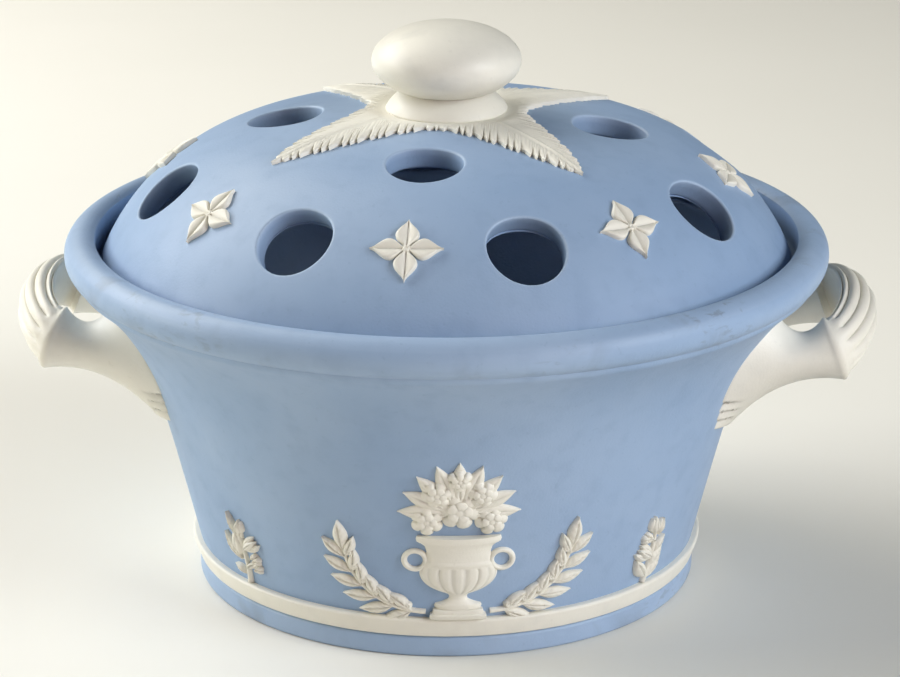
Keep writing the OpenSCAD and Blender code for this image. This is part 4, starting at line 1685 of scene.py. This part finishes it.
@dataclass(frozen=True)
class Lid:
    """The pierced blue dome."""

    bowl: Bowl
    gap: float = 1.5
    clear: float = 0.3
    edge_h: float = 1.9
    thick: float = 4.0
    hole_r: float = 7.1
    turn: float = -7.4
    edge_soft: float = 0.45
    edge_pale: float = 0.5
    inner_soft: float = 0.5
    pale_lead: float = 0.4
    pale_until: float = 1.3
    low_soft: float = 0.6
    low_run: float = 0.3
    low_pale: float = 0.3
    bore_depths: tuple[float, ...] = (1.6, 2.4, 3.0)
    bore_shade: float = 0.7
    inside_shade: float = 0.3
    crown_start: float = 2.0
    patch: float = 10.5
    patch_shares: tuple[float, ...] = (0.3, 0.58, 0.8, 0.93)
    inside_shares: tuple[float, ...] = (0.85, 0.5)
    columns: int = 192
    patch_rows: int = 12
    rings: tuple[HoleRing, ...] = (HoleRing(31.0, 4, 0.0, 24), HoleRing(54.0, 8, 0.5, 12))

    @property
    def low_z(self) -> float:
        """Height of the lid's lower edge."""
        return self.bowl.ledge_z + self.clear

    @cached_property
    def dome(self) -> Dome:
        """The lid's outer surface."""
        return Dome(self.bowl.seat_r - self.gap, self.low_z + self.edge_h)

    @cached_property
    def angles(self) -> Array:
        """Angles of the columns in radians."""
        return math.radians(self.turn) + np.linspace(0, 2 * math.pi, self.columns, endpoint=False)

    def rows(self) -> tuple[Array, list[int]]:
        """Lays out the rows of the dome's mesh.

        Returns:
            Length along the surface of each row, and the row at which each ring's patch starts.
        """
        first, second = (self.dome.arc_at(ring.radius) for ring in self.rings)
        bands = [
            np.linspace(self.crown_start, first - self.patch, 10),
            np.linspace(first - self.patch, first + self.patch, self.patch_rows + 1),
            np.linspace(first + self.patch, second - self.patch, 4),
            np.linspace(second - self.patch, second + self.patch, self.patch_rows + 1),
            np.linspace(second + self.patch, self.dome.whole_arc, 7),
        ]
        starts = [len(bands[0]) - 1, len(bands[0]) + len(bands[1]) + len(bands[2]) - 3]
        return np.concatenate([bands[0]] + [band[1:] for band in bands[1:]]), starts

    def hole_loops(self, u: Array, v: Array) -> list[tuple[Array, Array, float, float, float]]:
        """Lays out the loops of one hole, from its patch on the outside to its patch inside.

        Args:
            u: Place of each point of the patch's border across the dome, from the hole's middle.
            v: The same down the dome.

        Returns:
            Place of each loop's points across and down, its gap to the outside, its edge mark and its painted
            shade.
        """
        angle = np.arctan2(v, u)
        across, down = np.cos(angle), np.sin(angle)
        loops = []

        def blend(share: float, wide: float, gap: float, hollow: float) -> None:
            """Adds a loop at a share of the way from the patch's border to a circle."""
            loops.append((u + share * (wide * across - u), v + share * (wide * down - v), gap, 0.0, hollow))

        def circle(radius: float, gap: float, pale: float, hollow: float) -> None:
            """Adds a round loop."""
            loops.append((radius * across, radius * down, gap, pale, hollow))

        soft, inner_soft = self.edge_soft, self.inner_soft
        for share in self.patch_shares:
            blend(share, self.hole_r + soft, 0.0, 0.0)
        for turn in np.linspace(0, math.pi / 2, 7):
            pale = math.sin(turn + self.pale_lead) if turn < self.pale_until else self.edge_pale
            circle(self.hole_r + soft - soft * math.sin(turn), soft * (math.cos(turn) - 1), pale, 0.0)
        for depth in self.bore_depths:
            circle(self.hole_r, -depth, 0.0, self.bore_shade)
        for turn in np.linspace(0, math.pi / 2, 4):
            depth = self.thick - inner_soft + inner_soft * math.sin(turn)
            circle(self.hole_r + inner_soft * (1 - math.cos(turn)), -depth, 0.0, self.bore_shade)
        for share in self.inside_shares:
            blend(share, self.hole_r + inner_soft, -self.thick, self.inside_shade)
        return loops

    def pierce(
        self, mould: Mould, middle: tuple[float, float], borders: tuple[Array, Array], edge: Array
    ) -> None:
        """Cuts one hole into its patch.

        Args:
            mould: Mould that takes the skin.
            middle: Length along the surface and angle in radians of the hole's middle.
            borders: Numbers of the patch's border points, outside and inside.
            edge: Length along the surface and angle in radians of each border point.
        """
        dome = self.dome
        arc_length, angle = middle
        bend_down = dome.crown_r if arc_length < dome.crown_arc else dome.shoulder_r
        bend_across = dome.section(arc_length, 0)[0] / math.sin(dome.slope(arc_length))
        v = edge[:, 0] - arc_length
        u = (edge[:, 1] - angle) * dome.section(edge[:, 0], 0)[0]
        last = borders[0]
        for across, down, gap, pale, hollow in self.hole_loops(u, v):
            if -self.thick < gap < 0:
                across = across * (bend_across / (bend_across + gap))
                down = down * (bend_down / (bend_down + gap))
            along = arc_length + down
            turn = across / dome.section(along, 0)[0]
            loop = mould.add(dome.point(along, angle + turn, gap), edge=pale, hollow=hollow)
            mould.strip(last, loop)
            last = loop
        mould.strip(last, borders[1])

    @staticmethod
    def border(rows: Array, columns: Array) -> Array:
        """Walks once round a patch.

        Args:
            rows: The patch's rows.
            columns: Its columns.

        Returns:
            Row and column of each point of its border.
        """
        return np.concatenate([
            np.stack([np.full(len(columns), rows[0]), columns], axis=-1),
            np.stack([rows[1:], np.full(len(rows) - 1, columns[-1])], axis=-1),
            np.stack([np.full(len(columns) - 1, rows[-1]), columns[-2::-1]], axis=-1),
            np.stack([rows[-2:0:-1], np.full(len(rows) - 2, columns[0])], axis=-1),
        ])

    def build(self) -> None:
        """Casts the lid."""
        mould = Mould()
        rows, starts = self.rows()
        grids = []
        for gap, hollow in ((0.0, 0.0), (-self.thick, self.inside_shade)):
            points = self.dome.point(rows[:, None], self.angles[None, :], gap)
            grids.append(mould.add(points, hollow=hollow))
        covered = np.zeros((len(rows) - 1, self.columns), bool)
        for ring, start in zip(self.rings, starts):
            centre = self.dome.arc_at(ring.radius)
            step = self.columns // ring.count
            for hole in range(ring.count):
                first = int(step * (hole + ring.phase)) - ring.columns // 2
                columns = np.arange(first, first + ring.columns + 1)
                border = self.border(np.arange(start, start + self.patch_rows + 1), columns)
                numbers = tuple(grid[border[:, 0], border[:, 1] % self.columns] for grid in grids)
                turn = self.angles[0] + 2 * math.pi / self.columns * border[:, 1]
                angle = self.angles[0] + 2 * math.pi / ring.count * (hole + ring.phase)
                self.pierce(mould, (centre, angle), numbers, np.stack([rows[border[:, 0]], turn], axis=-1))
                covered[start:start + self.patch_rows, columns[:-1] % self.columns] = True
        for grid in grids:
            for row, column in np.argwhere(~covered):
                pair = [column, (column + 1) % self.columns]
                mould.face((*grid[row, pair], *grid[row + 1, pair[::-1]]))
            mould.face(grid[0])
        self.build_edge(mould, grids[0][-1], grids[1][-1])
        mould.cast("lid", Body.LID, Clay.BLUE)

    def build_edge(self, mould: Mould, outside: Array, inside: Array) -> None:
        """Rounds the lid's lower edge.

        Args:
            mould: Mould that takes the skin.
            outside: Numbers of the lowest row outside.
            inside: Numbers of the lowest row inside.
        """
        outer_r = self.dome.edge_r
        inner_r = self.dome.section(self.dome.whole_arc, -self.thick)[0]
        soft = self.low_soft
        profile = np.concatenate([
            [(outer_r, self.low_z + self.edge_h - self.low_run)],
            arc((outer_r - soft, self.low_z + soft), soft, 0, -90, 5),
            [(inner_r + self.low_run, self.low_z)],
        ])
        last = outside
        for radius, height in profile:
            ring = mould.add(turned(radius, self.angles, height), edge=self.low_pale)
            mould.strip(last, ring)
            last = ring
        mould.strip(last, inside)


@dataclass(frozen=True)
class Knob:
    """The white turned knob: a flat round head on a foot that swells out like a bell."""

    dome: Dome
    radius: float = 14.1
    half_h: float = 7.2
    lift: float = 9.3
    neck_r: float = 8.3
    foot_r: float = 11.5
    foot_round: float = 0.5
    bell_full: tuple[float, float] = (0.23, 0.52)
    axis_r: float = 0.5
    head_end: float = 88.0
    rub_rise: tuple[float, float] = (-2.0, 4.0)
    neck_shade_h: float = 1.6
    segments: int = 128

    def build(self) -> None:
        """Casts the knob."""
        middle_z = self.dome.top_z + self.lift
        neck_angle = math.acos(self.neck_r / self.radius)
        under_r = np.linspace(self.axis_r, self.foot_r - self.foot_round, 5)
        _, under_z = self.dome.section(self.dome.arc_at(under_r), 0)
        round_z = under_z[-1] + self.foot_round
        side = np.array([self.foot_r, round_z])
        neck = np.array([self.neck_r, middle_z - self.half_h * math.sin(neck_angle)])
        bend = side + np.array(self.bell_full) * (neck - side)
        head = np.linspace(-neck_angle, math.radians(self.head_end), 60)
        profile = np.concatenate([
            np.stack([under_r, under_z - SINK / 4], axis=-1)[:-1],
            arc((self.foot_r - self.foot_round, round_z), self.foot_round, -90, 0, 8),
            curve(side, bend, neck, np.linspace(0, 1, 24))[1:-1],
            np.stack([self.radius * np.cos(head), middle_z + self.half_h * np.sin(head)], axis=-1),
        ])
        rub = ease(*self.rub_rise, profile[:, 1] - middle_z)
        hollow = bell(self.neck_shade_h, profile[:, 1] - neck[1])
        mould = Mould()
        mould.lathe(profile, self.segments, rub=rub, hollow=hollow)
        mould.cast("knob", Body.LID, Clay.WHITE)


@dataclass(frozen=True)
class LeafStar:
    """Four acanthus leaves that make a star round the knob."""

    dome: Dome
    turn: float
    count: int = 4
    start_r: float = 11.4
    joint_r: float = 15.3
    tip_r: float = 40.0
    low_r: float = 14.0
    low_w: float = 7.0
    high_r: float = 34.0
    high_w: float = 5.0
    thick: float = 1.2
    leaflets: int = 17
    leaflet_rows: int = 15
    slant: float = 1.2
    notch: float = 1.5
    tooth_peak: float = 0.75
    stagger: float = 0.22
    stagger_pitch: float = 2.1
    notch_change: float = 0.35
    notch_pitch: float = 2.4
    notch_most: float = 0.3
    lines: int = 3
    line_depth: float = 0.08
    line_shade: float = 0.25
    slit_depth: float = 0.6
    rib_w: float = 0.5
    rib_rise: float = 0.1
    furrow_off: float = 1.1
    furrow_w: float = 0.4
    furrow_depth: float = 0.12
    furrow_shade: float = 0.5
    edge_height: float = 0.45
    foot_height: float = 0.2
    foot_run: float = 5.0
    tip_fall: float = 0.4
    tip_run: float = 6.0
    edge_steps: int = 200
    columns: int = 20
    gather: float = 0.7

    def edge(self) -> Array:
        """Draws one side of a leaf from its joint to its tip.

        Returns:
            Distance aside and distance along the midrib of each place.
        """
        joint = self.joint_r * math.sqrt(0.5)
        low, high = (self.low_w, self.low_r), (self.high_w, self.high_r)
        share = np.linspace(0, 1, self.edge_steps)
        first = curve((joint, joint), low, high, share)
        second = curve(low, high, (0, self.tip_r), share)
        path = (1 - share[:, None]) * first + share[:, None] * second
        return evenly(path, self.leaflets * self.leaflet_rows)

    def veins(self, edge: Array) -> Array:
        """Finds where the veins start, on the knob's foot or on the midrib.

        Args:
            edge: Places of the edge at which they end.

        Returns:
            The start of each vein.
        """
        along = edge[:, 1] - self.slant * edge[:, 0]
        first = int(np.argmax(along > self.start_r))
        turn = math.pi / self.count * np.maximum(0, 1 - np.arange(len(edge)) / first)
        reach = np.maximum(along, self.start_r)
        return np.stack([reach * np.sin(turn), reach * np.cos(turn)], axis=-1)

    def half_leaf(self) -> tuple[Array, Array, Array]:
        """Models half a leaf, whose rows run along the veins.

        Returns:
            Places aside and along the midrib, and the height and painted shade of each.
        """
        edge = self.edge()
        start = self.veins(edge)
        count = np.arange(len(edge)) / self.leaflet_rows
        count = count + self.tooth_peak + self.stagger * np.sin(self.stagger_pitch * count)
        place = count % 1.0
        out = np.linspace(0, 1, self.columns)[None, :] ** self.gather
        length = np.linalg.norm(edge - start, axis=1)
        tooth = np.minimum(place / self.tooth_peak, (1 - place) / (1 - self.tooth_peak))
        bite = self.notch * (1 + self.notch_change * np.cos(self.notch_pitch * np.floor(count)))
        reach = 1 - (1 - tooth) * np.minimum(self.notch_most, bite / np.maximum(length, 0.1))
        plan = start[:, None] + (out * reach[:, None])[..., None] * (edge - start)[:, None]
        from_rib = out * length[:, None]
        slit = ((1 - tooth) ** 4)[:, None] * ease(0.6, 0.95, out)
        wave = 0.5 + 0.5 * np.cos(2 * math.pi * self.lines * place)
        line = wave[:, None] * window((0.1, 0.3), (0.6, 0.9), out)
        on_rib = ease(self.start_r - 1, self.start_r + 4, start[:, 1:])
        rib = bell(self.rib_w, from_rib) * on_rib
        furrow = bell(self.furrow_w, from_rib - self.furrow_off) * on_rib
        body = self.edge_height + (1 - self.edge_height) * rounded(out, 0.98, 3)
        body = body * (1 - self.slit_depth * slit - self.line_depth * line)
        body = body + self.rib_rise * rib - self.furrow_depth * furrow
        from_foot = np.linalg.norm(plan, axis=-1) - self.start_r
        thick = self.foot_height + (1 - self.foot_height) * ease(0, self.foot_run, from_foot)
        thick = thick * (1 - self.tip_fall * ease(self.tip_r - self.tip_run, self.tip_r, edge[:, 1:]))
        # Painted shade in the slits between leaflets, in the fine lines and in the furrows
        hollow = slit + self.line_shade * line + self.furrow_shade * furrow
        return plan, self.thick * body * thick, np.clip(hollow, 0, 1)

    def build(self) -> None:
        """Casts the leaves, each as two halves."""
        plan, height, hollow = self.half_leaf()
        for order in range(self.count):
            relief = Relief(self.dome.star(self.turn + 360 / self.count * (order + 0.5)))
            for side in (-1, 1):
                relief.slab(plan * np.array([side, 1]), height, hollow)
            relief.cast(f"leaf_{order + 1}", Body.LID, Clay.WHITE)


@dataclass(frozen=True)
class Flowers:
    """Eight four-petalled flowers between the outer scent holes."""

    dome: Dome
    turn: float
    count: int = 8
    radius: float = 53.2
    petals: int = 4
    petal_len: float = 6.5
    petal_w: float = 4.2
    thick: float = 1.3
    eye_r: float = 0.8
    eye_share: float = 0.75
    hand_turns: tuple[float, ...] = (2, -3, 4, -1, 3, -4, 1, -2)
    hand_shifts: tuple[float, ...] = (0.7, 0, -0.2, 0.3, 0, -0.3, 0.2, 0.4)

    def build(self) -> None:
        """Casts the flowers, each turned and shifted a little as if set by hand."""
        for order, (hand_turn, hand_shift) in enumerate(zip(self.hand_turns, self.hand_shifts)):
            angle = self.turn + 360 / self.count * order
            relief = Relief(self.dome.ground(angle, self.radius + hand_shift))
            for petal in range(self.petals):
                relief.leaf(Leaf(
                    0, 0, hand_turn + 360 / self.petals * petal, self.petal_len, self.petal_w, self.thick,
                    widest=0.46, neck=0.3, groove=0.12, dish=0.55, taper=1.7,
                ), rows=30, columns=19)
            relief.rosette(0, 0, self.eye_r, self.eye_share * self.thick)
            relief.cast(f"flower_{order + 1}", Body.LID, Clay.WHITE)


# Studio


@dataclass(frozen=True)
class Lamp:
    """A soft square lamp, placed in metres."""

    name: str
    place: tuple[float, float, float]
    watts: float
    colour: Colour = (1.0, 1.0, 1.0)
    size: float = 0.6
    aim: tuple[float, float, float] = (0.0, 0.0, 0.04)

    def build(self) -> None:
        """Hangs the lamp."""
        light = bpy.data.lights.new(self.name, "AREA")
        light.size = self.size
        light.energy = self.watts
        light.color = self.colour
        lamp = bpy.data.objects.new(self.name, light)
        lamp.location = self.place
        lamp.rotation_euler = (Vector(self.aim) - Vector(self.place)).to_track_quat("-Z", "Y").to_euler()
        bpy.context.scene.collection.objects.link(lamp)


@dataclass(frozen=True)
class Studio:
    """Floor, lamps, soft room light and the camera of the photo, in metres."""

    floor_size: float = 8.0
    room_colour: Colour = (1.0, 0.95, 0.8)
    room_level: float = 0.02
    backdrop_level: float = 0.75
    camera_place: tuple[float, float, float] = (0.0, -0.560, 0.233)
    camera_tilt: float = 71.47
    focal_px: float = 3052.0
    axis_px: float = 446.5
    picture_px: float = 900.0
    sensor_mm: float = 36.0
    clip_start: float = 0.05
    paper: Paper = field(default_factory=Paper)
    lamps: tuple[Lamp, ...] = (
        Lamp("key_left", (-0.75, 0.28, 0.5), 6.5, (0.84, 0.88, 1.0)),
        Lamp("key_left_high", (-0.5, 0.5, 0.7), 4.7, (1.0, 0.95, 0.8)),
        Lamp("fill_right", (0.9, -0.5, 0.55), 9.4, (0.88, 0.95, 1.0)),
        Lamp("fill_front", (0.5, -0.8, 0.3), 2.1, (1.0, 0.78, 0.77)),
        Lamp("glow_left", (-1.0, -0.05, 0.34), 3.9, (1.0, 0.97, 0.8), 0.4),
    )

    def build(self) -> None:
        """Sets up the floor, the light and the camera."""
        self.build_floor()
        for lamp in self.lamps:
            lamp.build()
        bench = Bench(bpy.data.worlds.new("room"))
        seen = bench.make("ShaderNodeLightPath", {}, {}, "Is Camera Ray")
        level = seen * (self.backdrop_level - self.room_level) + self.room_level
        room = bench.make("ShaderNodeBackground", {}, {"Color": self.room_colour, "Strength": level})
        bpy.context.scene.world = bench.surface(room, "ShaderNodeOutputWorld")
        self.build_camera()
        bpy.context.scene.view_settings.view_transform = "Standard"

    def build_floor(self) -> None:
        """Lays the sheet of paper."""
        half = self.floor_size / 2
        mesh = bpy.data.meshes.new("floor")
        corners = [(-half, -half, 0), (half, -half, 0), (half, half, 0), (-half, half, 0)]
        mesh.from_pydata(corners, [], [(0, 1, 2, 3)])
        mesh.materials.append(self.paper.material)
        floor = bpy.data.objects.new("floor", mesh)
        bpy.context.scene.collection.objects.link(floor)

    def build_camera(self) -> None:
        """Puts the camera where the photo was taken."""
        lens = bpy.data.cameras.new("camera")
        lens.sensor_width = self.sensor_mm
        lens.lens = self.focal_px * self.sensor_mm / self.picture_px
        lens.shift_x = (self.picture_px / 2 - self.axis_px) / self.picture_px
        lens.clip_start = self.clip_start
        camera = bpy.data.objects.new("camera", lens)
        camera.location = self.camera_place
        camera.rotation_euler = (math.radians(self.camera_tilt), 0, 0)
        bpy.context.scene.collection.objects.link(camera)
        bpy.context.scene.camera = camera


# Turn of the handles and of the urn groups, and the gap between the base band and the reliefs over it
HANDLE_TURN = -2.6
GROUP_TURN = 2.4
RELIEF_GAP = 0.2


def main() -> None:
    """Dresses the vase and sets up the studio."""
    logging.basicConfig(level=logging.INFO, format="%(name)s: %(message)s")
    bowl = Bowl()
    wall = bowl.wall
    band = BaseBand(wall)
    lid = Lid(bowl)
    relief_z = band.top_z + RELIEF_GAP
    bowl.build()
    band.build()
    for name, angle in (("handle_right", 0.0), ("handle_left", 180.0)):
        Handle(name, angle + HANDLE_TURN, wall).build()
    for side, angle in (("front", 0.0), ("back", 180.0)):
        UrnGroup(side, angle + GROUP_TURN, wall, relief_z).build()
        Sprig(f"sprig_{side}_left", angle - SPRAY_ANGLE, wall, relief_z, **LEFT_SPRAY).build()
        Sprig(f"sprig_{side}_right", angle + SPRAY_ANGLE, wall, relief_z, **RIGHT_SPRAY).build()
    lid.build()
    Knob(lid.dome).build()
    LeafStar(lid.dome, lid.turn).build()
    Flowers(lid.dome, lid.turn).build()
    Studio().build()


if __name__ == "__main__":
    main()
